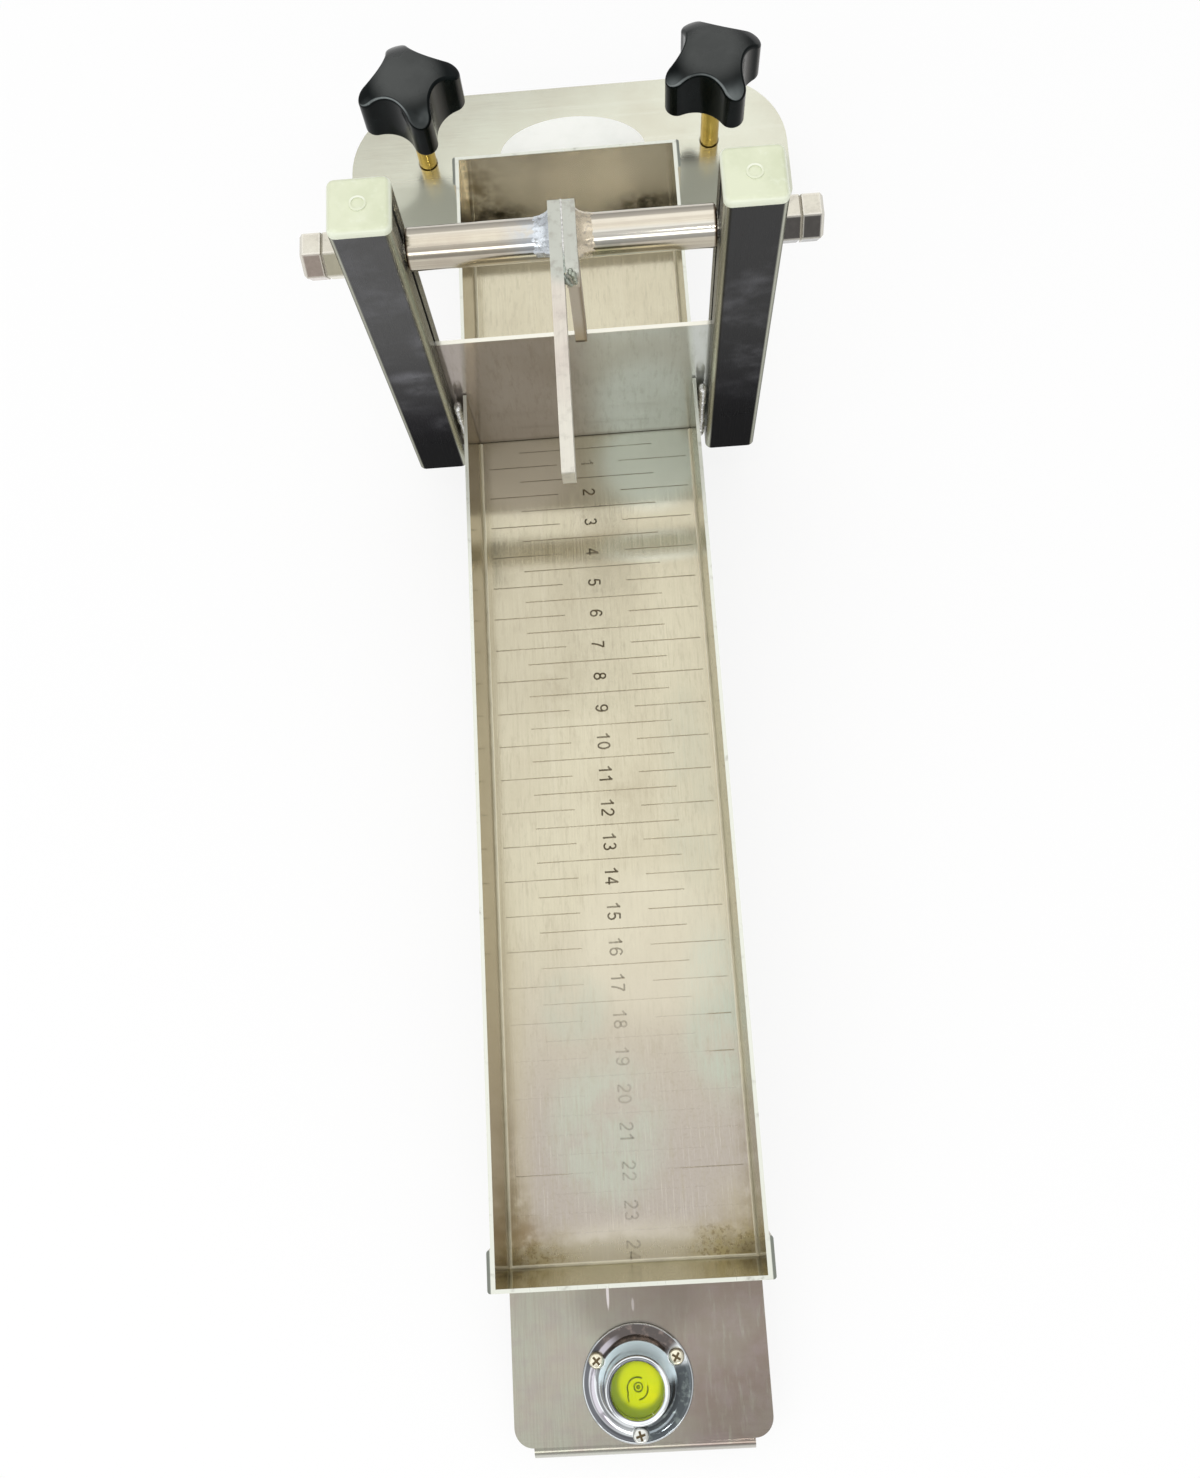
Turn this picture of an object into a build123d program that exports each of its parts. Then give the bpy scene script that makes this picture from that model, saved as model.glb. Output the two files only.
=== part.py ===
from build123d import *
from math import atan2, degrees, radians, sqrt, tan
import os

os.makedirs("parts", exist_ok=True)

# Driving dimensions in millimetres. X runs across the trough, Y towards the reservoir, Z up from the table.

# Folded tray: reservoir behind the gate, graduated trough in front of it
sheet = 1.0
bend_inside = 0.8
trough_width = 66.0
wall_height = 30.0
trough_run = 243.0
reservoir_run = 80.0
tab_length = 10.0
tab_lift = 3.0
tab_round = 0.8

# Base plate: wide levelling plate at the rear, tongue and folded foot at the front
base_sheet = 1.5
foot_height = 15.0
foot_bend_inside = 1.5
foot_width = 57.0
tongue_width = 67.0
tongue_run = 45.5
rear_plate_width = 147.0
rear_plate_run = 51.0
rear_corner = 28.0
rear_front_corner = 4.0

# Gate plate and the slits that it runs in
gate_sheet = 1.2
gate_height = 56.0
gate_floor_gap = 0.3
gate_slit = 2.0
gate_corner = 1.2
ear_height = 30.0
ear_end_gap = 2.3
blade_edge_inset = 0.2

# Slotted square posts
post_side = 15.0
post_wall = 1.2
post_corner = 2.0
post_stand_off = 3.5
post_rise = 111.5
weld_length = 4.0
weld_inset = 4.0
cap_head = 2.0
cap_round = 1.4
cap_plug = 8.0
cap_wall = 1.6
plug_clearance = 0.1
ring_radius = 2.0
ring_width = 0.5
ring_height = 0.25
foot_plug_height = 3.0

# Gate springs of square wire, shown compressed under the ears of the closed gate
spring_diameter = 11.0
spring_wire = 1.1
spring_turns = 6

# Trigger: pivot rod, press handle and hooked latch
rod_diameter = 10.0
rod_rise = 96.0
rod_end_gap = 0.5
rod_chamfer = 0.4
bar_width = 3.0
bar_height = 6.0
bar_saddle = 3.0
bar_overhang = 3.5
bar_end_round = 0.8
handle_reach = 66.0
handle_offset = 0.5
latch_gap = 0.4
latch_front = 16.0
latch_brow_round = 2.5
finger_root = 12.0
nose_front = 6.6
nose_back = 1.5
nose_clearance = 0.35
nose_bevel = 36.0

# Pivot bolts and lock nuts
bolt_diameter = 6.0
bolt_clearance = 0.1
pivot_clearance = 0.05
bolt_head = 5.0
bolt_nut = 4.5
hex_flats = 10.0
hex_chamfer = 0.7
pivot_depth = 6.0
pivot_hole_extra = 2.0

# Levelling screws with four-lobed knobs
stud_diameter = 6.0
stud_edge_distance = 26.0
stud_setback = 26.0
stud_tip_round = 1.0
stud_hole_clearance = 0.3
stud_running_clearance = 0.05
stud_grip = 14.0
stud_end_gap = 0.3
weld_nut_height = 5.0
knob_lift = 19.0
knob_hub_height = 3.0
knob_hub_radius = 6.0
knob_lobe_height = 11.5
knob_crown = 6.5
knob_tip_radius = 16.5
knob_lobe_radius = 3.8
knob_waist_radius = 9.6
knob_top_round = 1.2
knob_bottom_round = 0.8
knob_turns = {"left": 15.0, "right": 25.0}

# Circular spirit level on the tongue
level_setback = 17.5
level_offset = -0.8
level_flange_radius = 14.5
level_flange_height = 1.6
level_rim_width = 1.2
level_rim_round = 0.7
level_bezel_radius = 8.3
level_neck_height = 7.0
level_height = 9.6
level_bezel_round = 0.6
level_bore_radius = 6.8
level_floor = 1.4
level_glass_thickness = 2.0
level_glass_dome = 0.5
level_glass_drop = 0.6
level_fit = 0.05
level_screw_circle = 12.0
level_screw_diameter = 2.9
level_screw_head = 4.2
level_screw_head_height = 1.6
level_screw_seat_clearance = 0.2
level_screw_length = 6.0
level_screw_count = 3
level_screw_angle = 30.0

# Places that follow from the driving dimensions
sides = ((-1, "left"), (1, "right"))
tray_width = trough_width + 2 * sheet
tray_length = trough_run + reservoir_run + 2 * sheet
front_reach = trough_run + sheet + tongue_run
rear_reach = reservoir_run + sheet + rear_plate_run
gate_y = (front_reach - rear_reach) / 2
front_y = gate_y - front_reach
rear_y = gate_y + rear_reach
tray_front_y = gate_y - trough_run - sheet
tray_rear_y = gate_y + reservoir_run + sheet
tray_bottom = foot_height
floor_z = tray_bottom + sheet
wall_top = floor_z + wall_height
gate_top = floor_z + gate_height
rod_z = floor_z + rod_rise
post_top = floor_z + post_rise
post_bore = post_side - 2 * post_wall
post_inner_x = tray_width / 2 + post_stand_off
post_x = post_inner_x + post_side / 2
post_outer_x = post_inner_x + post_side
rod_radius = rod_diameter / 2
bolt_radius = bolt_diameter / 2
stud_radius = stud_diameter / 2
stud_reach = rear_plate_width / 2 - stud_edge_distance
stud_y = rear_y - stud_setback
level_y = front_y + level_setback


def save(piece, name):
    piece.part.label = name
    export_step(piece.part, f"parts/{name}.step")


# Base plate: one laser-cut sheet with the front edge of its tongue folded down as a foot
foot_bend_outside = foot_bend_inside + base_sheet
foot_bend_y = front_y + foot_bend_outside
foot_bend_z = foot_height - foot_bend_outside
strip_rear_y = tray_rear_y + rear_plate_run / 2
strip_length = strip_rear_y - foot_bend_y
tongue_corner = (tongue_width - foot_width) / 2
with BuildPart() as base_plate:
    with BuildSketch(Plane.XY.offset(foot_height - base_sheet)) as outline:
        with Locations((0, rear_y - rear_plate_run / 2)):
            Rectangle(rear_plate_width, rear_plate_run)
        fillet(outline.vertices().group_by(Axis.Y)[-1], rear_corner)
        fillet(outline.vertices().group_by(Axis.Y)[0], rear_front_corner)
        with Locations((0, foot_bend_y + strip_length / 2)):
            Rectangle(tongue_width, strip_length)
        fillet(outline.vertices().group_by(Axis.Y)[0], tongue_corner)
    extrude(amount=base_sheet)
    with BuildSketch(Plane.YZ.offset(-foot_width / 2)):
        with BuildLine():
            CenterArc((foot_bend_y, foot_bend_z), foot_bend_outside, 90, 90)
            Polyline(
                (front_y, foot_bend_z),
                (front_y, 0),
                (front_y + base_sheet, 0),
                (front_y + base_sheet, foot_bend_z),
            )
            CenterArc((foot_bend_y, foot_bend_z), foot_bend_inside, 180, -90)
            Line((foot_bend_y, foot_height - base_sheet), (foot_bend_y, foot_height))
        make_face()
    extrude(amount=foot_width)
    with Locations(*[(side * stud_reach, stud_y, foot_height) for side, word in sides]):
        Hole(stud_radius + stud_hole_clearance)
    with Locations((level_offset, level_y, foot_height)):
        with PolarLocations(level_screw_circle, level_screw_count, start_angle=level_screw_angle):
            Hole(level_screw_diameter / 2)
save(base_plate, "base_plate")

# Tray: folded from one sheet, corner tabs lapped outside the side walls, a slit each side for the gate
slit_root_x = trough_width / 2 - bend_inside
slit_depth = tray_width / 2 - slit_root_x
with BuildPart() as tray:
    with BuildSketch(Plane.XY.offset(tray_bottom)):
        with Locations((0, (tray_front_y + tray_rear_y) / 2)):
            Rectangle(tray_width, tray_length)
    extrude(amount=sheet + wall_height)
    fillet(tray.edges().group_by(Axis.Z)[0], bend_inside + sheet)
    offset(amount=-sheet, openings=tray.faces().sort_by(Axis.Z)[-1])
    with BuildSketch(Plane.XY.offset(floor_z + tab_lift)):
        for corner_y in (tray_front_y + tab_length / 2, tray_rear_y - tab_length / 2):
            for side, word in sides:
                with Locations((side * (tray_width + sheet) / 2, corner_y)):
                    Rectangle(sheet, tab_length)
    extrude(amount=wall_height - tab_lift)
    tab_edges = tray.edges().filter_by(Axis.Z).group_by(Axis.X)
    fillet(tab_edges[0] + tab_edges[-1], tab_round)
    with BuildSketch(Plane.XY.offset(floor_z)):
        for side, word in sides:
            with Locations((side * (slit_root_x + slit_depth / 2), gate_y)):
                Rectangle(slit_depth, gate_slit)
    extrude(amount=wall_height, mode=Mode.SUBTRACT)
save(tray, "tray")

# Gate: blade across the trough with an ear inside each post, standing on the springs
blade_half = post_inner_x + post_wall - blade_edge_inset
ear_half = post_outer_x - post_wall - ear_end_gap
ear_bottom = gate_top - ear_height
blade_bottom = floor_z + gate_floor_gap
gate_plane = Plane(origin=(0, gate_y, 0), x_dir=(1, 0, 0), z_dir=(0, -1, 0))
with BuildPart() as gate:
    with BuildSketch(gate_plane) as gate_face:
        with Locations((0, (blade_bottom + gate_top) / 2)):
            Rectangle(2 * blade_half, gate_top - blade_bottom)
        with Locations((0, (ear_bottom + gate_top) / 2)):
            Rectangle(2 * ear_half, ear_height)
        fillet(gate_face.vertices().group_by(Axis.Y)[-1], gate_corner)
    extrude(amount=gate_sheet / 2, both=True)
save(gate, "gate")

# Posts, their welds, caps, foot plugs and gate springs
foot_plug_top = tray_bottom + foot_plug_height
coil_radius = (spring_diameter - spring_wire) / 2
coil_height = ear_bottom - foot_plug_top - spring_wire
cap_plug_side = post_bore - 2 * plug_clearance
for side, word in sides:
    with BuildPart() as post:
        with BuildSketch(Plane((side * post_x, gate_y, tray_bottom))):
            RectangleRounded(post_side, post_side, post_corner)
            RectangleRounded(post_bore, post_bore, post_corner - post_wall, mode=Mode.SUBTRACT)
            with Locations((-side * post_side / 2, 0)):
                Rectangle(2 * post_wall, gate_slit, mode=Mode.SUBTRACT)
        extrude(amount=post_top - tray_bottom)
        with BuildSketch(Plane.YZ.offset(side * post_x)):
            with Locations((gate_y, rod_z)):
                Circle(bolt_radius + bolt_clearance)
        extrude(amount=post_side, both=True, mode=Mode.SUBTRACT)
    save(post, f"{word}_post")

    # Two upright weld runs hold each post against the side wall
    weld_x = side * (tray_width / 2 + post_stand_off / 2)
    with BuildPart() as welds:
        with BuildSketch(Plane((weld_x, gate_y, floor_z + tab_lift))):
            with Locations((0, -weld_inset), (0, weld_inset)):
                SlotOverall(weld_length, post_stand_off, rotation=90)
        extrude(amount=wall_height - tab_lift)
    save(welds, f"{word}_post_welds")

    with BuildPart() as cap:
        with BuildSketch(Plane((side * post_x, gate_y, post_top))):
            RectangleRounded(post_side, post_side, post_corner)
        extrude(amount=cap_head)
        fillet(cap.edges().group_by(Axis.Z)[-1], cap_round)
        with BuildSketch(Plane((side * post_x, gate_y, post_top))):
            RectangleRounded(cap_plug_side, cap_plug_side, post_corner - post_wall)
            Rectangle(cap_plug_side - 2 * cap_wall, cap_plug_side - 2 * cap_wall, mode=Mode.SUBTRACT)
        extrude(amount=-cap_plug)
        with BuildSketch(Plane((side * post_x, gate_y, post_top + cap_head))):
            Circle(ring_radius)
            Circle(ring_radius - ring_width, mode=Mode.SUBTRACT)
        extrude(amount=ring_height)
    save(cap, f"{word}_post_cap")

    with BuildPart() as foot_plug:
        with BuildSketch(Plane((side * post_x, gate_y, tray_bottom))):
            RectangleRounded(cap_plug_side, cap_plug_side, post_corner - post_wall)
        extrude(amount=foot_plug_height)
    save(foot_plug, f"{word}_post_foot_plug")

    with BuildPart() as spring:
        with BuildLine() as coil:
            Helix(
                pitch=coil_height / spring_turns,
                height=coil_height,
                radius=coil_radius,
                center=(side * post_x, gate_y, foot_plug_top + spring_wire / 2),
            )
        with BuildSketch(Plane(origin=coil.line @ 0, x_dir=(1, 0, 0), z_dir=coil.line % 0)):
            Rectangle(spring_wire, spring_wire)
        sweep(is_frenet=True)
    save(spring, f"{word}_gate_spring")

# Trigger rod between the posts, drilled at both ends for the pivot bolts
rod_length = 2 * (post_inner_x - rod_end_gap)
with BuildPart() as rod:
    with BuildSketch(Plane.YZ.offset(-rod_length / 2)):
        with Locations((gate_y, rod_z)):
            Circle(rod_radius)
    extrude(amount=rod_length)
    chamfer(rod.edges().filter_by(GeomType.CIRCLE), rod_chamfer)
    for side, word in sides:
        with BuildSketch(Plane.YZ.offset(side * rod_length / 2)):
            with Locations((gate_y, rod_z)):
                Circle(bolt_radius + pivot_clearance)
        extrude(amount=-side * (pivot_depth + pivot_hole_extra), mode=Mode.SUBTRACT)
save(rod, "trigger_rod")

# Press handle: flat bar saddled on the rod and reaching out over the trough
bar_top = bar_saddle + bar_height
handle_length = handle_reach + bar_overhang
handle_x = handle_offset - bar_width
with BuildPart() as handle:
    with BuildSketch(Plane((handle_x, gate_y, rod_z), x_dir=(0, 1, 0), z_dir=(1, 0, 0))) as bar_side:
        with Locations(((bar_overhang - handle_reach) / 2, bar_saddle + bar_height / 2)):
            Rectangle(handle_length, bar_height)
        fillet(bar_side.vertices().group_by(Axis.X)[0], bar_end_round)
        Circle(rod_radius, mode=Mode.SUBTRACT)
    extrude(amount=bar_width)
save(handle, "trigger_handle")

# Latch: short bar beside the handle with a slanted finger, its bevelled nose over the top edge of the gate
nose_z = gate_top + nose_clearance - rod_z
nose_heel = gate_sheet / 2
nose_rise = (nose_front + nose_heel) * tan(radians(nose_bevel))
nose_top = nose_z + nose_rise
finger_lean = (finger_root - nose_front) / (bar_saddle - nose_top)
finger_back = nose_back + finger_lean * nose_z
latch_x = handle_offset + latch_gap
with BuildPart() as latch:
    with BuildSketch(Plane((latch_x, gate_y, rod_z), x_dir=(0, 1, 0), z_dir=(1, 0, 0))) as hook:
        with BuildLine():
            Polyline(
                (0, 0),
                (bar_overhang, bar_saddle),
                (bar_overhang, bar_top),
                (-latch_front, bar_top),
                (-latch_front, bar_saddle),
                (-finger_root, bar_saddle),
                (-nose_front, nose_top),
                (nose_heel, nose_z),
                (nose_back, nose_z),
                (finger_back, 0),
                close=True,
            )
        make_face()
        fillet(hook.vertices().group_by(Axis.X)[0].sort_by(Axis.Y)[-1], latch_brow_round)
        Circle(rod_radius, mode=Mode.SUBTRACT)
    extrude(amount=bar_width)
save(latch, "latch_finger")

# Pivot bolts with lock nuts outside the posts
bolt_seat_x = post_outer_x + bolt_nut
bolt_tip_x = post_inner_x - rod_end_gap - pivot_depth
for side, word in sides:
    outward = Axis((0, 0, 0), (side, 0, 0))
    with BuildPart() as nut:
        with BuildSketch(Plane.YZ.offset(side * post_outer_x)):
            with Locations((gate_y, rod_z)):
                RegularPolygon(hex_flats / 2, 6, major_radius=False)
        extrude(amount=side * bolt_nut)
        chamfer(nut.faces().sort_by(outward)[-1].edges(), hex_chamfer)
        with BuildSketch(Plane.YZ.offset(side * post_outer_x)):
            with Locations((gate_y, rod_z)):
                Circle(bolt_radius + bolt_clearance)
        extrude(amount=side * bolt_nut, mode=Mode.SUBTRACT)
    save(nut, f"{word}_lock_nut")

    with BuildPart() as bolt:
        with BuildSketch(Plane.YZ.offset(side * bolt_seat_x)):
            with Locations((gate_y, rod_z)):
                RegularPolygon(hex_flats / 2, 6, major_radius=False)
        extrude(amount=side * bolt_head)
        chamfer(bolt.faces().sort_by(outward)[-1].edges(), hex_chamfer)
        with BuildSketch(Plane.YZ.offset(side * bolt_seat_x)):
            with Locations((gate_y, rod_z)):
                Circle(bolt_radius)
        extrude(amount=-side * (bolt_seat_x - bolt_tip_x))
    save(bolt, f"{word}_pivot_bolt")

# Levelling screws: brass stud, moulded knob and the nut welded under the plate
stud_top = foot_height + knob_lift + stud_grip
nut_top = foot_height - base_sheet
knob_base = foot_height + knob_lift
lobe_base = knob_base + knob_hub_height
lobe_offset = knob_tip_radius - knob_lobe_radius
lobe_span = sqrt(2) * lobe_offset
flank_gain = knob_lobe_radius**2 - lobe_offset**2 - knob_waist_radius**2 + lobe_span * knob_waist_radius
flank_radius = flank_gain / (2 * knob_waist_radius - lobe_span - 2 * knob_lobe_radius)
flank_offset = knob_waist_radius + flank_radius
touch_angle = degrees(atan2(flank_offset / sqrt(2), flank_offset / sqrt(2) - lobe_offset))
for side, word in sides:
    stud_x = side * stud_reach
    with BuildPart() as stud:
        with BuildSketch(Plane((stud_x, stud_y, 0))):
            Circle(stud_radius)
        extrude(amount=stud_top)
        fillet(stud.edges().filter_by(GeomType.CIRCLE).group_by(Axis.Z)[0], stud_tip_round)
    save(stud, f"{word}_levelling_stud")

    with BuildPart() as weld_nut:
        with BuildSketch(Plane((stud_x, stud_y, nut_top))):
            RegularPolygon(hex_flats / 2, 6, major_radius=False)
            Circle(stud_radius + stud_running_clearance, mode=Mode.SUBTRACT)
        extrude(amount=-weld_nut_height)
    save(weld_nut, f"{word}_weld_nut")

    # Four round lobes joined by hollow flanks in plan, a domed crown on top and a short hub below
    with BuildPart() as knob:
        with BuildSketch(Plane((stud_x, stud_y, lobe_base)).rotated((0, 0, knob_turns[word]))):
            with BuildLine():
                for quarter in (0, 90, 180, 270):
                    lobe_centre = Vector(lobe_offset, 0).rotate(Axis.Z, quarter)
                    flank_centre = Vector(flank_offset, 0).rotate(Axis.Z, quarter + 45)
                    CenterArc(lobe_centre, knob_lobe_radius, quarter - touch_angle, 2 * touch_angle)
                    CenterArc(flank_centre, flank_radius, quarter + touch_angle + 180, 90 - 2 * touch_angle)
            make_face()
        extrude(amount=knob_lobe_height + knob_crown)
        with BuildSketch(Plane((stud_x, stud_y, lobe_base), x_dir=(1, 0, 0), z_dir=(0, -1, 0))):
            with BuildLine():
                crown = TangentArc(
                    (0, knob_lobe_height + knob_crown), (knob_tip_radius, knob_lobe_height), tangent=(1, 0)
                )
                Polyline(crown @ 1, (knob_tip_radius, 0), (0, 0), crown @ 0)
            make_face()
        revolve(axis=Axis((stud_x, stud_y, 0), (0, 0, 1)), mode=Mode.INTERSECT)
        fillet(knob.faces().sort_by(Axis.Z)[-1].edges(), knob_top_round)
        fillet(knob.faces().sort_by(Axis.Z)[0].edges(), knob_bottom_round)
        with BuildSketch(Plane((stud_x, stud_y, lobe_base))):
            Circle(knob_hub_radius)
        extrude(amount=-knob_hub_height)
        with BuildSketch(Plane((stud_x, stud_y, knob_base))):
            Circle(stud_radius + stud_running_clearance)
        extrude(amount=stud_grip + stud_end_gap, mode=Mode.SUBTRACT)
    save(knob, f"{word}_knob")

# Spirit level: turned bell-shaped housing, liquid and domed glass
glass_radius = level_bore_radius - level_fit
glass_top = level_height - level_glass_drop
glass_bottom = glass_top - level_glass_thickness
bell_radius = level_flange_radius - level_rim_width
level_plane = Plane((level_offset, level_y, foot_height), x_dir=(1, 0, 0), z_dir=(0, -1, 0))
level_axis = Axis((level_offset, level_y, 0), (0, 0, 1))
with BuildPart() as housing:
    with BuildSketch(level_plane):
        with BuildLine():
            Polyline(
                (0, level_floor),
                (0, 0),
                (level_flange_radius, 0),
                (level_flange_radius, level_flange_height),
                (bell_radius, level_flange_height),
            )
            EllipticalCenterArc(
                (bell_radius, level_neck_height),
                bell_radius - level_bezel_radius,
                level_neck_height - level_flange_height,
                start_angle=180,
                arc_size=90,
            )
            Polyline(
                (level_bezel_radius, level_neck_height),
                (level_bezel_radius, level_height),
                (level_bore_radius, level_height),
                (level_bore_radius, level_floor),
                (0, level_floor),
            )
        make_face()
    revolve(axis=level_axis)
    rims = housing.edges().filter_by(GeomType.CIRCLE)
    fillet(rims.group_by(Axis.Z)[-1], level_bezel_round)
    fillet(rims.filter_by(lambda rim: rim.radius == level_flange_radius).sort_by(Axis.Z)[-1], level_rim_round)
    with Locations((level_offset, level_y, foot_height + level_flange_height)):
        with PolarLocations(level_screw_circle, level_screw_count, start_angle=level_screw_angle):
            Hole(level_screw_diameter / 2)
            Cylinder(
                level_screw_head / 2 + level_screw_seat_clearance,
                level_height,
                align=(Align.CENTER, Align.CENTER, Align.MIN),
                mode=Mode.SUBTRACT,
            )
save(housing, "level_housing")

with BuildPart() as liquid:
    with BuildSketch(Plane((level_offset, level_y, foot_height + level_floor))):
        Circle(glass_radius)
    extrude(amount=glass_bottom - level_floor)
save(liquid, "level_liquid")

with BuildPart() as glass:
    with BuildSketch(level_plane):
        with BuildLine():
            Polyline(
                (0, glass_top + level_glass_dome),
                (0, glass_bottom),
                (glass_radius, glass_bottom),
                (glass_radius, glass_top),
            )
            TangentArc((0, glass_top + level_glass_dome), (glass_radius, glass_top), tangent=(1, 0))
        make_face()
    revolve(axis=level_axis)
save(glass, "level_glass")

with BuildPart() as level_screws:
    with BuildSketch(Plane((level_offset, level_y, foot_height + level_flange_height))):
        with PolarLocations(level_screw_circle, level_screw_count, start_angle=level_screw_angle):
            Circle(level_screw_head / 2)
    extrude(amount=level_screw_head_height)
    fillet(level_screws.edges().group_by(Axis.Z)[-1], level_screw_head_height / 2)
    with BuildSketch(Plane((level_offset, level_y, foot_height + level_flange_height))):
        with PolarLocations(level_screw_circle, level_screw_count, start_angle=level_screw_angle):
            Circle(level_screw_diameter / 2)
    extrude(amount=-level_screw_length)
save(level_screws, "level_screws")
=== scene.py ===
import math
import bmesh
import bpy
from mathutils import Matrix, Vector
from mathutils import noise as spaceNoise


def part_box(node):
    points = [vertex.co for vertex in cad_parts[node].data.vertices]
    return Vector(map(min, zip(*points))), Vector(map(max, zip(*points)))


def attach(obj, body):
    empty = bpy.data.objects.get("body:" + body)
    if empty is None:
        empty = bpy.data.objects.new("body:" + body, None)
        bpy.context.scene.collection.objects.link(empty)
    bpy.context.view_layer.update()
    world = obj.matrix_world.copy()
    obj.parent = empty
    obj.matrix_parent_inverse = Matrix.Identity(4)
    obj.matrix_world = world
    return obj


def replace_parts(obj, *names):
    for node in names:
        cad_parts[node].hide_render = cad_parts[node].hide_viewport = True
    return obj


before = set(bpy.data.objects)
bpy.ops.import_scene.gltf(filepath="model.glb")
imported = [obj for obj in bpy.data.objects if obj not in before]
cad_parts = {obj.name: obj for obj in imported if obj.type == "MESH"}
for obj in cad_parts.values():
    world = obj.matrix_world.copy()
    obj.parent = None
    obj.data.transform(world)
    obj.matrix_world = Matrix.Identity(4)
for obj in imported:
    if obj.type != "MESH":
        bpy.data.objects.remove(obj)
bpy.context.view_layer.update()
scene = bpy.context.scene
mm = 0.001
sideNames = ("left", "right")

# places taken from the fixed frame
trayLow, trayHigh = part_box("tray")
nearY = trayLow.y + 1.0 * mm       # inner faces of the end walls
farY = trayHigh.y - 1.0 * mm
gateLow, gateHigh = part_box("gate")
gateY = (gateLow.y + gateHigh.y) / 2
floorZ = trayLow.z + 1.0 * mm      # upper face of the trough floor
wallTop = trayHigh.z
plateTop = trayLow.z
rodLow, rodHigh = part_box("trigger_rod")
rodZ = (rodLow.z + rodHigh.z) / 2
rodRadius = (rodHigh.z - rodLow.z) / 2
handleLow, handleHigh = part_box("trigger_handle")
fingerLow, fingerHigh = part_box("latch_finger")
studLow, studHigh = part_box("right_levelling_stud")
studX = (studLow.x + studHigh.x) / 2
studY = (studLow.y + studHigh.y) / 2
levelLow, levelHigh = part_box("level_housing")
levelX = (levelLow.x + levelHigh.x) / 2
levelY = (levelLow.y + levelHigh.y) / 2
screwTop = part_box("level_screws")[1].z
print("frame loaded, gate at", round(gateY, 5), "floor at", round(floorZ, 5))


def seen(red, green, blue):        # a colour from 0 to 255 as the linear colour that shows it
    def straight(part):
        part /= 255
        return part / 12.92 if part <= 0.04045 else ((part + 0.055) / 1.055) ** 2.4
    return (straight(red), straight(green), straight(blue), 1.0)


def metres(*lengths):              # millimetres as metres
    return tuple(length * mm for length in lengths)


# small helpers for node trees: a socket knows the tree that it belongs to
def home(*values):
    return next(value.id_data for value in values if isinstance(value, bpy.types.NodeSocket))


def feed(socket, value):
    if isinstance(value, bpy.types.NodeSocket):
        socket.id_data.links.new(value, socket)
    else:
        socket.default_value = value


def put(tree, kind, wires=None, **settings):
    node = tree.nodes.new(kind)
    for key, value in settings.items():
        setattr(node, key, value)
    for key, value in (wires or {}).items():
        feed(node.inputs[key], value)
    return node


def calc(operation, first, second=0.0, clamp=False):
    wires = {0: first, 1: second}
    return put(home(first, second), "ShaderNodeMath", wires, operation=operation, use_clamp=clamp).outputs[0]


def add(first, second):
    return calc("ADD", first, second)


def less(first, second):
    return calc("SUBTRACT", first, second)


def by(first, second):
    return calc("MULTIPLY", first, second)


def most(first, second):
    return calc("MAXIMUM", first, second)


def unsigned(value):
    return calc("ABSOLUTE", value)


def span(first, second):           # distance from the origin of two axes
    return calc("SQRT", add(by(first, first), by(second, second)))


def times(*parts):
    product = parts[0]
    for part in parts[1:]:
        product = calc("MULTIPLY", product, part, True)
    return product


def fade(value, low, high, toLow=0.0, toHigh=1.0):
    wires = {"Value": value, "From Min": low, "From Max": high, "To Min": toLow, "To Max": toHigh}
    return put(value.id_data, "ShaderNodeMapRange", wires, interpolation_type="SMOOTHSTEP").outputs[0]


def blendColour(factor, first, second, way="MIX"):
    wires = {0: factor, 6: first, 7: second}
    tree = home(factor, first, second)
    return put(tree, "ShaderNodeMix", wires, data_type="RGBA", blend_type=way).outputs[2]


def layered(look, colour, *layers):        # each layer is a mask and the name of its tone
    for mask, tone in layers:
        colour = blendColour(mask, colour, look[tone])
    return colour


def axes(vector):
    return put(vector.id_data, "ShaderNodeSeparateXYZ", {0: vector}).outputs


def noise(vector, scale, detail=3.0, rough=0.55):
    wires = {"Vector": vector, "Scale": scale, "Detail": detail, "Roughness": rough}
    return put(vector.id_data, "ShaderNodeTexNoise", wires).outputs[0]


def uneven(vector, scale, low, high, detail=3.0):      # values that wander between two limits
    return fade(noise(vector, scale, detail), 0.3, 0.7, low, high)


# shader groups shared by several finishes
def newGroup(name, outputs, **inputs):
    group = bpy.data.node_groups.new(name, "ShaderNodeTree")
    for label, kind in inputs.items():
        group.interface.new_socket(label, in_out="INPUT", socket_type="NodeSocket" + kind)
    for label in outputs:
        group.interface.new_socket(label, in_out="OUTPUT", socket_type="NodeSocketFloat")
    return group, put(group, "NodeGroupInput").outputs, put(group, "NodeGroupOutput").inputs


def makeBrushedGrain():            # long fine strokes of an abrasive belt
    group, given, out = newGroup("brushedGrain", ["Streak", "Band"], Vector="Vector", Stretch="Vector")
    pulled = put(group, "ShaderNodeVectorMath", {0: given["Vector"], 1: given["Stretch"]}, operation="MULTIPLY")
    wide = put(group, "ShaderNodeVectorMath", {0: pulled.outputs[0], "Scale": 0.11}, operation="SCALE")
    feed(out["Streak"], noise(pulled.outputs[0], 1.0, 5.0, 0.7))
    feed(out["Band"], noise(wide.outputs[0], 1.0, 2.0, 0.5))
    return group


def makeSmudgeCloud():             # uneven patches: handling marks, dull areas, dried drips
    group, given, out = newGroup("smudgeCloud", ["Mask"], Vector="Vector", Size="Float", Low="Float", High="Float")
    patches = noise(given["Vector"], given["Size"], 6.0, 0.62)
    feed(out["Mask"], fade(patches, given["Low"], given["High"]))
    return group


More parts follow.
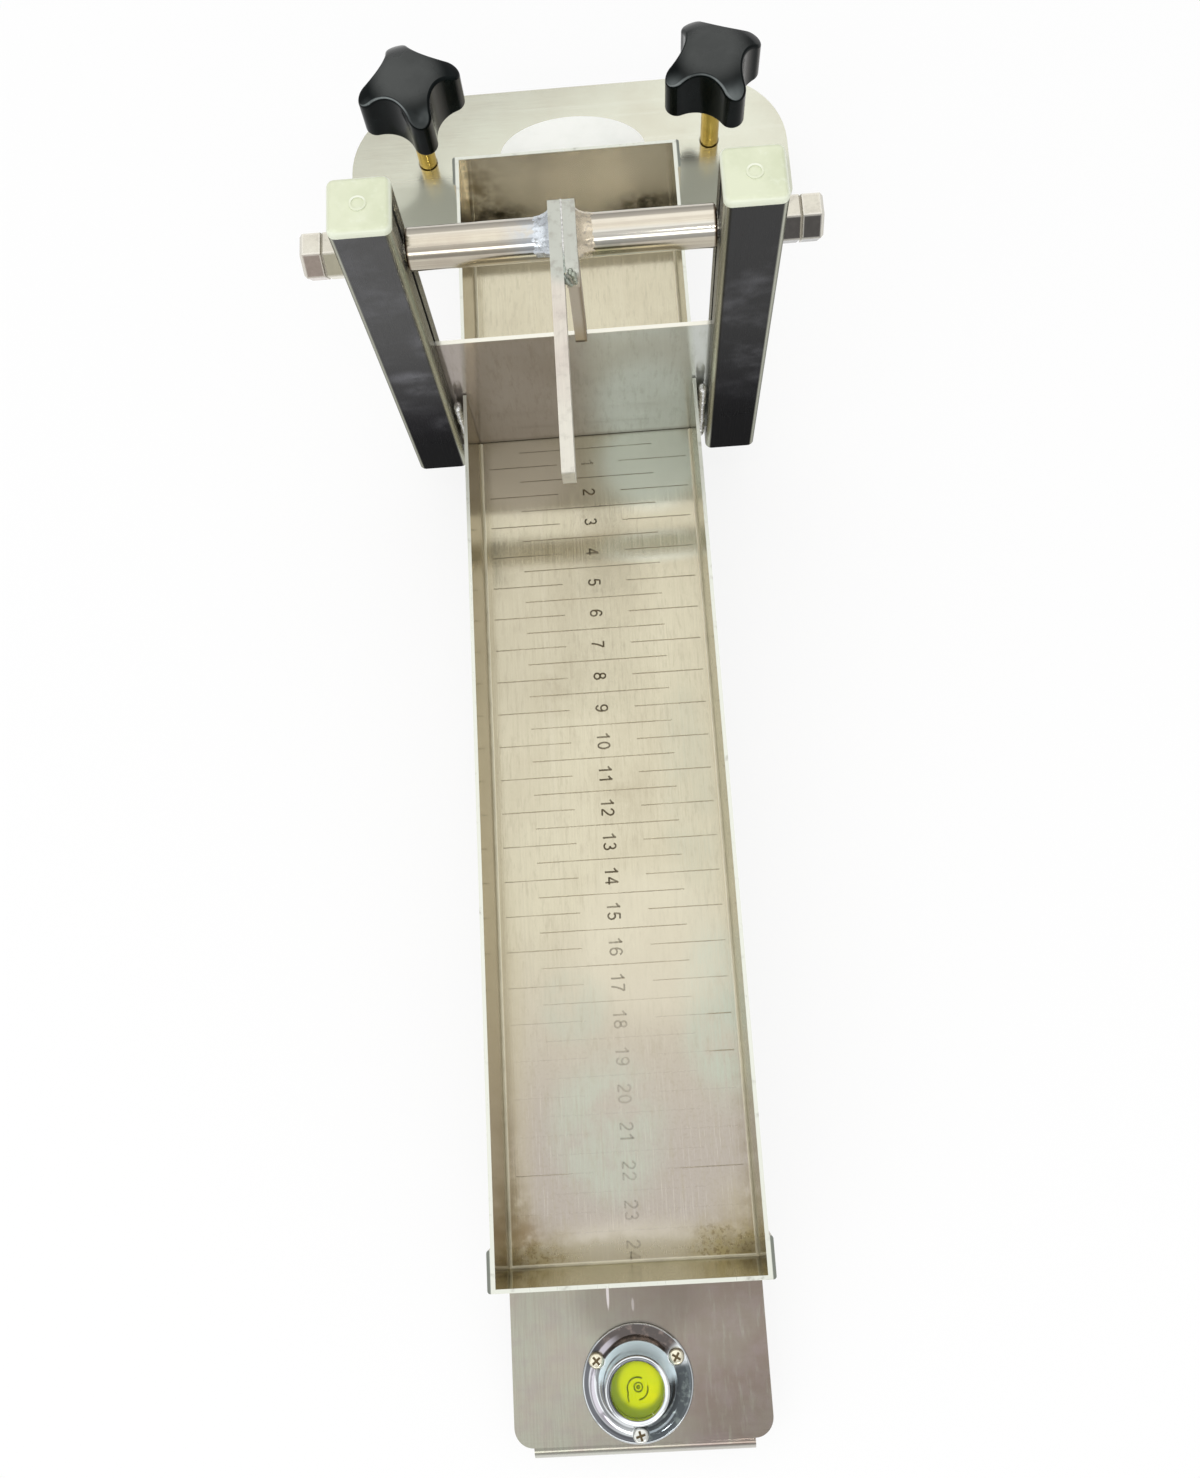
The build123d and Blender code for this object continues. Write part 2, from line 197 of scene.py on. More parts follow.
def makeSpotFade():                # soft oval spot round a point of the object
    group, given, out = newGroup("spotFade", ["Mask"], Vector="Vector", Centre="Vector", Reach="Vector")
    away = put(group, "ShaderNodeVectorMath", {0: given["Vector"], 1: given["Centre"]}, operation="SUBTRACT")
    part = put(group, "ShaderNodeVectorMath", {0: away.outputs[0], 1: given["Reach"]}, operation="DIVIDE")
    size = put(group, "ShaderNodeVectorMath", {0: part.outputs[0]}, operation="LENGTH")
    feed(out["Mask"], fade(size.outputs["Value"], 1.0, 0.0))
    return group


brushedGrain = makeBrushedGrain()
smudgeCloud = makeSmudgeCloud()
spotFade = makeSpotFade()


def useGroup(group, wires):
    return put(wires["Vector"].id_data, "ShaderNodeGroup", wires, node_tree=group).outputs


def cloud(vector, size, low, high):
    return useGroup(smudgeCloud, {"Vector": vector, "Size": size, "Low": low, "High": high})["Mask"]


def spot(vector, centre, reach):
    return useGroup(spotFade, {"Vector": vector, "Centre": centre, "Reach": reach})["Mask"]


def floorSpot(vector, x, run, wide, deep, tall=30):    # on the trough floor, run millimetres from the gate
    return spot(vector, (x * mm, gateY - run * mm, floorZ), metres(wide, deep, tall))


def grain(vector, *stretch):
    return useGroup(brushedGrain, {"Vector": vector, "Stretch": stretch})


strokeHeight = 0.08 * mm           # bump of a brushed surface
skinHeight = 0.1 * mm              # bump of a moulded or printed one


class Coat:                        # one finish while it is mixed
    def __init__(self, name, look, metallic, **sockets):
        self.look = look
        self.finish = bpy.data.materials.new(name)
        self.finish.use_nodes = True
        self.tree = self.finish.node_tree
        self.tree.nodes.clear()
        self.shader = put(self.tree, "ShaderNodeBsdfPrincipled", {"Metallic": metallic})
        for label, value in sockets.items():
            self.shader.inputs[label].default_value = value
        out = put(self.tree, "ShaderNodeOutputMaterial")
        self.tree.links.new(self.shader.outputs[0], out.inputs["Surface"])
        place = put(self.tree, "ShaderNodeTexCoord").outputs
        self.here = place["Object"]
        self.outward = place["Normal"]
        self.colour = None
        self.rough = None

    def base(self, size, low, high, first, second):
        patches = cloud(self.here, size, low, high)
        self.colour = blendColour(patches, self.look[first], self.look[second])

    def lay(self, mask, tone):     # a tone of the look, or a mixed colour, over what is there
        self.colour = blendColour(mask, self.colour, self.look[tone] if isinstance(tone, str) else tone)

    def fleck(self, size, low, high, depth, tone):
        self.lay(times(cloud(self.here, size, low, high), depth), tone)

    def bump(self, height, strength, distance, under=None):
        wires = {"Height": height, "Strength": strength, "Distance": distance}
        if under:
            wires["Normal"] = under
        feed(self.shader.inputs["Normal"], put(self.tree, "ShaderNodeBump", wires).outputs[0])

    def lessMetal(self, mask, metallic):
        feed(self.shader.inputs["Metallic"], fade(mask, 0.0, 1.0, self.look["metallic"], metallic))

    def done(self):
        feed(self.shader.inputs["Base Color"], self.colour)
        feed(self.shader.inputs["Roughness"], self.rough)
        return self.finish


# brushed sheet: each piece lays its own marks over it
def brushedSheet(name, look, bumped=True, **sockets):
    coat = Coat(name, look, look["metallic"], **sockets)
    strokes = grain(coat.here, *look["stretch"])
    coat.base(look["patchSize"], 0.35, 0.72, "plain", "dull")
    coat.lay(fade(strokes["Streak"], 0.62, 0.36, 0.0, look["streakDepth"]), "streak")
    coat.lay(fade(strokes["Band"], 0.5, 0.75, 0.0, look["bandLift"]), "band")
    coat.rough = fade(strokes["Streak"], 0.3, 0.7, *look["roughness"])
    if bumped:
        coat.bump(strokes["Streak"], look["bump"], strokeHeight)
    return coat


traySteelLook = {
    "plain": seen(195, 189, 166), "dull": seen(187, 180, 157), "streak": seen(160, 152, 131),
    "band": seen(204, 198, 179), "edge": seen(208, 210, 200), "edgeWorn": seen(150, 148, 138),
    "mauve": seen(165, 157, 148), "sheen": seen(172, 179, 164), "olive": seen(168, 154, 108),
    "hair": seen(196, 190, 180), "stain": seen(122, 107, 77), "rustAndReflection": seen(126, 103, 80),
    "grime": seen(58, 52, 33), "lapped": seen(104, 108, 101), "wallReflectWarm": seen(163, 150, 125),
    "wallReflectCool": seen(158, 167, 149), "endWallReflect": seen(220, 214, 203), "fold": seen(226, 219, 194),
    "nearWallReflect": seen(193, 190, 146), "cool": seen(216, 219, 205), "cast": seen(176, 166, 134),
    "grazing": seen(238, 233, 221), "gateLine": seen(72, 64, 52),
    # x, distance from the gate, half width, half length, depth and, for pools, the tone
    "reflectionPools": ((20, 11, 26, 24, 1.0, "cool"), (20, 39.5, 30, 8, 0.6, "cool"), (-20, 67, 26, 42, 0.27, "streak"),
              (-20, 12, 24, 20, 1.0, "band"), (10, 160, 34, 34, 0.4, "band"), (0, 243, 46, 16, 0.4, "band")),
    "sheenSpots": ((28, 180, 17, 36, 0.9), (-5, 209, 24, 30, 0.75), (-12, 176, 15, 16, 0.5), (24, 120, 12, 60, 0.25)),
    # x, an end and the distance from it, height, reach, depth, tone
    "marks": ((4, "gate", -116, 0, (15, 13, 3), 0.16, "stain"), (-13, "gate", -83, 0, (14, 18, 3), 0.12, "stain"),
              (-32, "far", 0, 14, (17, 5, 26), 0.9, "stain"), (0, "far", 0, 32, (60, 4, 16), 0.3, "stain"),
              (-29, "near", 6.5, 0, (7, 9, 3), 0.9, "rustAndReflection"), (-31, "near", 14, 0, (8, 13, 3), 0.6, "stain")),
    "cornerMarks": ((34, "near", -2, 0, (24, 22, 8), 1.0, "stain"), (33, "near", 22, 0, (6, 48, 4), 0.4, "stain"),
                    (33, "near", 0, 6, (13, 2.5, 26), 1.0, "grime"), (25, "far", 0, 3, (20, 13, 8), 1.0, "grime")),
    "stretch": (2600.0, 45.0, 2600.0), "patchSize": 34.0, "metallic": 0.74, "foldMetallic": 0.15,
    "streakDepth": 0.15, "bandLift": 0.2, "roughness": (0.07, 0.13), "rimRough": 0.2, "driedRough": 0.24,
    "bump": 0.4, "set": 0.0128, "dish": 0.36,
}


def makeTraySteel(look):
    coat = brushedSheet("traySteel", look, bumped=False, **{"Specular Tint": look["grazing"]})
    here = coat.here
    x, y, z = axes(here)
    outY, outZ = axes(coat.outward)[1:]
    aside = unsigned(x)
    # strokes are deepest down the middle, on a sheet that is dished and a little sprung
    sheetRise = add(by(y, look["set"]), by(by(aside, aside), look["dish"]))
    sprung = put(coat.tree, "ShaderNodeBump", {"Height": sheetRise, "Strength": 1.0, "Distance": 1.0}).outputs[0]
    worked = by(grain(here, *look["stretch"])["Streak"], fade(aside, 10 * mm, 26 * mm, 1.0, 0.25))
    coat.bump(worked, look["bump"], strokeHeight, sprung)
    onFloor = fade(z, floorZ + 1.6 * mm, floorZ + 0.5 * mm)
    # mauve cast towards the near end, broken by patches of greenish sheen
    nearEnd = fade(y, gateY - 142 * mm, gateY - 222 * mm, 0.0, 0.95)
    coat.lay(nearEnd, "mauve")
    hairs = fade(grain(here, 2500.0, 70.0, 2500.0)["Streak"], 0.52, 0.72)
    coat.lay(times(hairs, nearEnd, 0.55), "hair")
    coat.fleck(1300.0, 0.5, 0.66, fade(nearEnd, 0.0, 0.95, 0.03, 0.12), "stain")
    streaky = fade(grain(here, 2300.0, 30.0, 2300.0)["Streak"], 0.36, 0.62, 0.55, 1.0)
    for *place, depth in look["sheenSpots"]:
        patch = fade(floorSpot(here, *place), 0.05, 0.6)
        coat.lay(times(patch, cloud(here, 70.0, 0.25, 0.6), streaky, depth), "sheen")
    # mottled strokes all over the floor, and lighter and darker pools of painted reflected light
    mottle = fade(grain(here, 800.0, 170.0, 800.0)["Streak"], 0.52, 0.3, 0.0, 0.3)
    coat.lay(times(mottle, onFloor), "streak")
    for *place, depth, tone in look["reflectionPools"]:
        coat.lay(times(fade(floorSpot(here, *place), 0.05, 0.6), onFloor, depth), tone)
    # painted reflection on the inner walls: warm on the left, cooler on the right, lighter on the end walls
    wallReflection = blendColour(fade(x, -10 * mm, 10 * mm), look["wallReflectWarm"], look["wallReflectCool"])
    wallReflection = blendColour(fade(unsigned(outY), 0.7, 0.95), wallReflection, look["endWallReflect"])
    midY = (nearY + farY) / 2
    halfRun = farY - midY
    within = times(fade(aside, 33.7 * mm, 33.3 * mm),
                   fade(unsigned(less(y, midY)), halfRun + 0.7 * mm, halfRun + 0.3 * mm))
    coat.lay(times(fade(onFloor, 1.0, 0.0, 0.0, 0.75), within), wallReflection)
    # painted reflection on the inner face of the near wall
    nearWallReflect = fade(y, nearY + 1.2 * mm, nearY + 0.4 * mm)
    coat.lay(times(nearWallReflect, fade(onFloor, 1.0, 0.0, 0.0, 0.8), within), "nearWallReflect")
    # tan cast along the folds of the near half
    castLeft = times(fade(x, -23 * mm, -31 * mm), fade(y, gateY - 120 * mm, gateY - 190 * mm), 0.45)
    castRight = times(fade(x, 18 * mm, 30 * mm), fade(y, nearY + 26 * mm, nearY + 8 * mm), 0.5)
    coat.lay(times(most(castLeft, castRight), onFloor, fade(streaky, 0.55, 1.0, 0.7, 1.0)), "cast")
    # dried residue in the corners, along the folds, and where the rear wall meets the floor
    ragged = cloud(here, 260.0, 0.25, 0.66)
    ends = {"gate": gateY, "near": nearY, "far": farY}
    marks = list(look["marks"])
    for side in (-1, 1):
        marks += [(side * across, *rest) for across, *rest in look["cornerMarks"]]
    for across, end, off, up, reach, depth, tone in marks:
        mark = spot(here, (across * mm, ends[end] + off * mm, floorZ + up * mm), metres(*reach))
        coat.lay(times(mark, ragged, within, depth), tone)
    # olive film along the near fold, thicker to the right, with grit in it
    wander = add(y, uneven(here, 120.0, -2.5 * mm, 2.5 * mm, 5.0))
    dried = times(fade(wander, nearY + 11 * mm, nearY + 0.5 * mm), onFloor)
    film = times(dried, fade(x, -20 * mm, 30 * mm, 0.5, 0.8), fade(aside, 8 * mm, 26 * mm, 0.1, 1.0))
    coat.lay(times(film, fade(cloud(here, 420.0, 0.3, 0.66), 0.0, 1.0, 0.45, 1.0)), "olive")
    grit = times(cloud(here, 1100.0, 0.5, 0.6), fade(film, 0.05, 0.5), fade(aside, 0.0, 28 * mm, 0.3, 0.75))
    coat.lay(grit, "stain")
    # painted highlight round the folds: a pale, less metallic line
    fold = times(fade(outZ, 0.995, 0.95), fade(outZ, 0.01, 0.08), within)
    coat.lay(times(fold, fade(cloud(here, 150.0, 0.3, 0.6), 0.0, 1.0, 0.7, 1.0)), "fold")
    coat.lessMetal(fold, look["foldMetallic"])
    # a dark line where the gate stands, tiny pits and specks
    coat.lay(times(spot(here, (0.0, gateY, floorZ), metres(90, 1.4, 3)), 0.8), "gateLine")
    coat.fleck(900.0, 0.735, 0.78, 0.5, "stain")
    # sheared edges along the tops of the walls, and dull tabs lapped round the corners
    rim = fade(z, wallTop - 0.2 * mm, wallTop - 0.05 * mm)
    coat.lay(rim, blendColour(cloud(here, 240.0, 0.56, 0.76), look["edge"], look["edgeWorn"]))
    coat.lay(times(fade(aside, 34.05 * mm, 34.3 * mm), fade(outZ, 0.1, 0.4, 0.12, 0.95)), "lapped")
    coat.rough = add(add(coat.rough, by(rim, look["rimRough"])), by(dried, look["driedRough"]))
    return coat.done()


baseSteelLook = {
    "plain": seen(207, 208, 192), "dull": seen(199, 197, 180), "streak": seen(184, 181, 166),
    "band": seen(216, 217, 204), "edge": seen(232, 232, 224), "score": seen(206, 200, 200),
    "tongueLeft": seen(157, 153, 140), "tongueRightReflectionAndStreak": seen(129, 117, 108), "tongueMark": seen(155, 157, 143),
    "tonguePurple": seen(146, 134, 134), "shade": seen(96, 86, 78), "fleck": seen(108, 98, 86),
    "haze": seen(196, 199, 182),
    "scores": ((-7.5, 6.5, 6.0, 0.75), (-1.0, 9.5, 2.5, 0.3)),     # x, distance from the tray, half length, depth
    "stretch": (60.0, 2400.0, 2400.0), "patchSize": 28.0, "metallic": 0.85, "hazeMetallic": 0.3,
    "streakDepth": 0.16, "bandLift": 0.35, "roughness": (0.13, 0.2), "bump": 0.05,
}


def makeBaseSteel(look):
    coat = brushedSheet("baseSteel", look)
    here = coat.here
    x, y, z = axes(here)
    # the tongue: lighter on the left, with painted reflection darkening the right and painted shade beside the trough
    leftRight = fade(x, -16 * mm, 18 * mm)
    patches = times(cloud(here, 75.0, 0.36, 0.62), fade(x, 18 * mm, -12 * mm, 0.2, 0.85))
    lines = fade(grain(here, 2200.0, 60.0, 2200.0)["Streak"], 0.6, 0.38, 0.0, 0.22)
    hairs = fade(grain(here, 750.0, 110.0, 750.0)["Streak"], 0.5, 0.72, 0.0, 0.4)
    # painted shade of the trough wall on the tongue, deepest on the right and in the middle
    beside = fade(y, trayLow.y - 20 * mm, trayLow.y - 4 * mm, 0.0, 0.4)
    middle = spot(here, (0.0, trayLow.y - 8 * mm, plateTop), metres(25, 18, 9))
    worn = layered(
        look, blendColour(leftRight, look["tongueLeft"], look["tongueRightReflectionAndStreak"]),
        (patches, "tongueMark"), (lines, "tongueRightReflectionAndStreak"),
        (times(cloud(here, 190.0, 0.4, 0.7), 0.35), "tonguePurple"), (hairs, "tongueMark"),
        (times(beside, fade(leftRight, 0.0, 1.0, 0.3, 1.0)), "shade"),
        (fade(middle, 0.05, 0.6, 0.0, 0.4), "shade"))
    coat.lay(fade(y, trayLow.y + 20 * mm, trayLow.y + 2 * mm), worn)
    # handled, hazy plate behind the posts
    haze = times(fade(y, gateY + 103 * mm, gateY + 93 * mm), fade(y, trayLow.y + 30 * mm, trayLow.y + 60 * mm),
                 cloud(here, 40.0, 0.15, 0.5))
    coat.lay(times(haze, 0.7), "haze")
    coat.lessMetal(haze, look["hazeMetallic"])
    # bright scores on the tongue
    for across, ahead, length, depth in look["scores"]:
        score = spot(here, (across * mm, trayLow.y - ahead * mm, plateTop), metres(0.6, length, 1))
        coat.lay(times(fade(score, 0.1, 0.6), depth), "score")
    coat.fleck(720.0, 0.72, 0.78, 0.45, "fleck")
    # cut edges shine
    coat.lay(fade(z, plateTop - 0.25 * mm, plateTop - 0.6 * mm, 0.0, 0.5), "edge")
    return coat.done()


gateSteelLook = {
    "plain": seen(226, 224, 224), "dull": seen(216, 212, 210), "streak": seen(196, 192, 188),
    "band": seen(234, 232, 230), "left": seen(192, 184, 176), "right": seen(232, 239, 233),
    "top": seen(222, 220, 208), "foot": seen(120, 110, 92),
    "stretch": (2400.0, 2400.0, 70.0), "patchSize": 30.0, "metallic": 0.62,
    "streakDepth": 0.12, "bandLift": 0.3, "roughness": (0.1, 0.17), "bump": 0.03,
}


def makeGateSteel(look):
    coat = brushedSheet("gateSteel", look)
    x, _, z = axes(coat.here)
    coat.lay(fade(grain(coat.here, 700.0, 700.0, 160.0)["Streak"], 0.52, 0.3, 0.0, 0.55), "streak")
    # painted reflection: the gate darker on the left, lighter and greener on the right
    reflectedSides = blendColour(fade(x, -8 * mm, 12 * mm), look["left"], look["right"])
    coat.colour = blendColour(1.0, coat.colour, reflectedSides, "MULTIPLY")
    coat.lay(fade(z, gateHigh.z - 0.35 * mm, gateHigh.z - 0.05 * mm), "top")
    coat.lay(fade(z, floorZ + 2.5 * mm, floorZ, 0.0, 0.5), "foot")     # darker towards the foot
    return coat.done()


postSteelLook = {
    "plain": seen(208, 205, 190), "dull": seen(194, 190, 174), "streak": seen(160, 155, 140),
    "band": seen(220, 218, 206), "side": seen(222, 220, 204), "corner": seen(204, 206, 192),
    "faceHigh": seen(92, 92, 92), "faceLow": seen(50, 49, 52), "faceRight": seen(40, 40, 41),
    "foot": seen(44, 44, 45), "faceReflectionMark": seen(122, 122, 126), "sheen": seen(120, 120, 120),
    # x, height, half width, half height, depth
    "faceReflectionSpots": ((-39, 84, 5, 9, 0.8), (-45, 68, 10, 4.5, 0.9), (-42, 61, 8, 4, 0.7), (-40, 42, 6, 6, 0.6),
              (42, 84, 9, 4, 0.35)),
    "stretch": (2400.0, 2400.0, 40.0), "patchSize": 40.0, "metallic": 0.85,
    "streakDepth": 0.3, "bandLift": 0.3, "roughness": (0.18, 0.3), "bump": 0.06,
}


def makePostSteel(look):
    coat = brushedSheet("postSteel", look, **{"Specular Tint": look["sheen"]})
    here = coat.here
    x, _, z = axes(here)
    outX, outY = axes(coat.outward)[:2]
    sideness = unsigned(outX)
    # painted light: the side faces of the tube are lighter
    coat.lay(fade(sideness, 0.8, 0.97, 0.0, 0.6), "side")
    # painted dark reflection on the front face: lighter high up, darker on the right, with lighter clouds and spots,
    # blacker at the foot
    stroked = put(coat.tree, "ShaderNodeVectorMath", {0: here, 1: (1.0, 1.0, 1.6)}, operation="MULTIPLY").outputs[0]
    layers = [(fade(x, -10 * mm, 10 * mm, 0.0, 0.55), "faceRight"),
              (times(cloud(stroked, 52.0, 0.47, 0.74), fade(z, 30 * mm, 70 * mm, 0.04, 0.42)), "faceReflectionMark")]
    for across, up, wide, high, depth in look["faceReflectionSpots"]:
        faceReflectionSpot = spot(here, (across * mm, gateY - 7.5 * mm, up * mm), metres(wide, 4, high))
        layers.append((times(faceReflectionSpot, cloud(stroked, 160.0, 0.3, 0.66), depth), "faceReflectionMark"))
    layers.append((fade(z, 62 * mm, 24 * mm, 0.0, 0.8), "foot"))
    face = blendColour(fade(z, 22 * mm, 95 * mm), look["faceLow"], look["faceHigh"])
    coat.lay(fade(outY, -0.80, -0.97), layered(look, face, *layers))
    # painted highlight strips where the tube is rolled round its corners
    coat.lay(fade(most(unsigned(outY), sideness), 0.985, 0.84, 0.0, 0.75), "corner")
    return coat.done()


rodSteelLook = {
    "plain": seen(198, 191, 174), "dull": seen(186, 176, 160), "streak": seen(148, 138, 124),
    "band": seen(216, 211, 199), "blue": seen(176, 184, 194), "moss": seen(128, 132, 116),
    "end": seen(84, 68, 50), "under": seen(240, 236, 226), "lit": seen(222, 224, 220),
    # place from the middle of the rod, reach, depth, tone
    "tints": (((-6, -2, 3), (10, 9, 9), 0.9, "blue"), ((11, -5, 0), (11, 5, 5), 0.9, "moss")),
    "stretch": (12.0, 1300.0, 1300.0), "patchSize": 60.0, "metallic": 1.0,
    "streakDepth": 0.45, "bandLift": 0.5, "roughness": (0.09, 0.15), "bump": 0.03,
}


def makeRodSteel(look):
    coat = brushedSheet("rodSteel", look)
    here = coat.here
    x = axes(here)["X"]
    outY, outZ = axes(coat.outward)[1:]
    # heat colours beside the welds
    ragged = fade(cloud(here, 300.0, 0.3, 0.62), 0.0, 1.0, 0.4, 1.0)
    for (across, back, up), reach, depth, tone in look["tints"]:
        tint = spot(here, (across * mm, gateY + back * mm, rodZ + up * mm), metres(*reach))
        coat.lay(times(tint, ragged, depth), tone)
    # painted reflection lighter underneath, and a painted highlight band across the upper front
    coat.lay(fade(outZ, -0.2, -0.7, 0.0, 0.8), "under")
    lit = times(fade(outY, -0.3, -0.5), fade(outZ, 0.35, 0.55), fade(x, -10 * mm, 10 * mm, 0.05, 0.4))
    coat.lay(lit, "lit")
    # painted shade at the ends, in the gaps beside the posts
    coat.lay(fade(unsigned(x), 36.1 * mm, 36.6 * mm), "end")
    return coat.done()


leverSteelLook = {
    "plain": seen(212, 206, 194), "dull": seen(203, 194, 184), "streak": seen(172, 164, 154),
    "band": seen(220, 217, 208), "tip": seen(214, 214, 202), "scale": seen(150, 146, 136),
    "burnt": seen(181, 184, 175), "finger": seen(196, 188, 178), "hook": seen(178, 162, 134),
    "hookSideShade": seen(132, 112, 90), "end": seen(70, 54, 42),
    "stretch": (1500.0, 70.0, 1500.0), "patchSize": 90.0, "metallic": 0.6,
    "streakDepth": 0.35, "bandLift": 0.4, "roughness": (0.32, 0.46), "bump": 0.2,
}


def makeLeverSteel(look):
    coat = brushedSheet("leverSteel", look)
    here = coat.here
    x, y, z = axes(here)
    coat.lay(fade(y, gateY - 34 * mm, gateY - 62 * mm, 0.0, 0.5), "tip")
    burnt = spot(here, (0.7 * mm, gateY - 5 * mm, handleHigh.z), metres(12, 20, 9))
    burnt = fade(burnt, 0.1, 0.4, 0.0, 0.9)
    coat.lay(burnt, "burnt")
    coat.fleck(420.0, 0.48, 0.68, fade(burnt, 0.0, 0.9, 0.25, 0.6), "scale")
    # the finger browns towards its nose
    tipZ = fingerLow.z
    browning = fade(z, tipZ + 20 * mm, tipZ + 4 * mm)
    # painted shade: a dark band at the finger's end and down its right side
    hook = layered(
        look, blendColour(browning, look["finger"], look["hook"]),
        (fade(z, tipZ + 6.9 * mm, tipZ + 5.8 * mm), "end"),
        (fade(x, fingerHigh.x - 1.0 * mm, fingerHigh.x - 0.2 * mm, 0.0, 0.7), "hookSideShade"))
    coat.lay(fade(z, rodZ + 4 * mm, rodZ - 4 * mm), hook)
    return coat.done()


weldSteelLook = {
    "plain": seen(206, 206, 204), "silver": seen(204, 210, 216), "beige": seen(206, 194, 172),
    "moss": seen(150, 160, 148), "dark": seen(128, 126, 122), "lumps": 0.2 * mm,
}


def makeWeldSteel(look):
    coat = Coat("weldSteel", look, 0.75)
    here = coat.here
    x, y = axes(here)[:2]
    # bluish on the left of the trigger, straw on the right, mossy in front
    coat.colour = blendColour(fade(x, -1 * mm, 3 * mm), look["silver"], look["beige"])
    coat.lay(fade(y, gateY - 9 * mm, gateY - 13 * mm, 0.0, 0.85), "moss")
    coat.lay(fade(unsigned(x), 14 * mm, 20 * mm), "plain")
    coat.fleck(900.0, 0.5, 0.66, 0.5, "dark")
    coat.rough = uneven(here, 800.0, 0.16, 0.36)
    coat.bump(noise(here, 1500.0, 4.0), 0.16, look["lumps"])
    return coat.done()


fastenerLook = {
    "plain": seen(197, 193, 180), "dull": seen(185, 180, 168), "streak": seen(150, 146, 137),
    "band": seen(214, 212, 202), "scuff": seen(136, 132, 126), "front": seen(92, 89, 88),
    "nutLeft": seen(222, 216, 190), "headLeft": seen(198, 182, 170), "edge": seen(226, 222, 212),
    "ends": (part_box("right_lock_nut")[1].x - 0.2 * mm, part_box("right_pivot_bolt")[1].x - 0.5 * mm),
    "stretch": (900.0, 900.0, 900.0), "patchSize": 120.0, "metallic": 1.0, "highlightMetallic": 0.3,
    "streakDepth": 0.2, "bandLift": 0.3, "roughness": (0.12, 0.22), "bump": 0.05,
}


def makeFastenerSteel(look):
    coat = brushedSheet("fastenerSteel", look)
    x, y, z = axes(coat.here)
    outY, outZ = axes(coat.outward)[1:]
    coat.fleck(260.0, 0.52, 0.7, 0.35, "scuff")
    # painted reflection on the flats facing the front: dark on the right, lighter on the left
    nutEnd = look["ends"][0]
    leftTone = blendColour(fade(x, 0.4 * mm - nutEnd, -nutEnd), look["nutLeft"], look["headLeft"])
    dark = blendColour(fade(x, -10 * mm, 10 * mm), leftTone, look["front"])
    coat.lay(times(fade(outY, -0.55, -0.8), fade(outZ, 0.62, 0.5), 0.9), dark)
    # painted highlights along the edges of the hexagons
    angle = calc("ARCTAN2", less(z, rodZ), less(y, gateY))
    paintedLight = fade(unsigned(calc("SINE", by(angle, 3.0))), 0.26, 0.1)
    out = unsigned(x)
    for end in look["ends"]:
        paintedLight = most(paintedLight, fade(unsigned(less(out, end)), 0.6 * mm, 0.3 * mm))
    paintedLight = times(paintedLight, fade(z, plateTop + 30 * mm, plateTop + 40 * mm), 0.6)
    coat.lay(paintedLight, "edge")
    coat.lessMetal(paintedLight, look["highlightMetallic"])
    return coat.done()


springLook = {
    "plain": seen(168, 168, 166), "dull": seen(140, 140, 140), "streak": seen(110, 110, 110),
    "band": seen(188, 188, 186), "stretch": (700.0, 700.0, 2200.0), "patchSize": 140.0, "metallic": 1.0,
    "streakDepth": 0.35, "bandLift": 0.3, "roughness": (0.22, 0.36), "bump": 0.1,
}
capLook = {
    "plain": seen(215, 220, 192), "deep": seen(203, 209, 178), "pale": seen(230, 235, 217),
    "ring": seen(242, 245, 232), "top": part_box("right_post_cap")[1].z,
}


def makeCapPlastic(look):
    coat = Coat("capPlastic", look, 0.0, **{"Coat Weight": 0.35, "Coat Roughness": 0.12})
    here = coat.here
    y, z = axes(here)[1:]
    coat.base(90.0, 0.35, 0.68, "plain", "deep")
    coat.fleck(300.0, 0.55, 0.72, 0.4, "pale")
    # painted highlights round the rim and on the moulded ring, strongest at its rear
    coat.lay(fade(axes(coat.outward)["Z"], 0.97, 0.6, 0.0, 0.7), "pale")
    raised = fade(z, look["top"] - 0.2 * mm, look["top"] - 0.06 * mm, 0.0, 0.6)
    coat.lay(times(raised, fade(y, gateY, gateY + 1.5 * mm, 0.2, 1.0)), "ring")
    coat.rough = uneven(here, 260.0, 0.28, 0.4)
    coat.bump(noise(here, 2200.0), 0.06, skinHeight)
    return coat.done()


plugLook = {"plain": seen(58, 58, 60), "pale": seen(84, 84, 84)}


def makePlugPlastic(look):
    coat = Coat("plugPlastic", look, 0.0)
    coat.base(200.0, 0.4, 0.7, "plain", "pale")
    coat.rough = uneven(coat.here, 700.0, 0.42, 0.58)
    coat.bump(noise(coat.here, 2600.0), 0.12, skinHeight)
    return coat.done()


knobLook = {
    "plain": seen(3, 8, 8), "worn": seen(13, 20, 20), "crown": seen(76, 78, 77), "dust": seen(96, 97, 96),
    "edge": seen(172, 180, 180), "gleam": seen(104, 100, 95), "crownRough": 0.22,
}


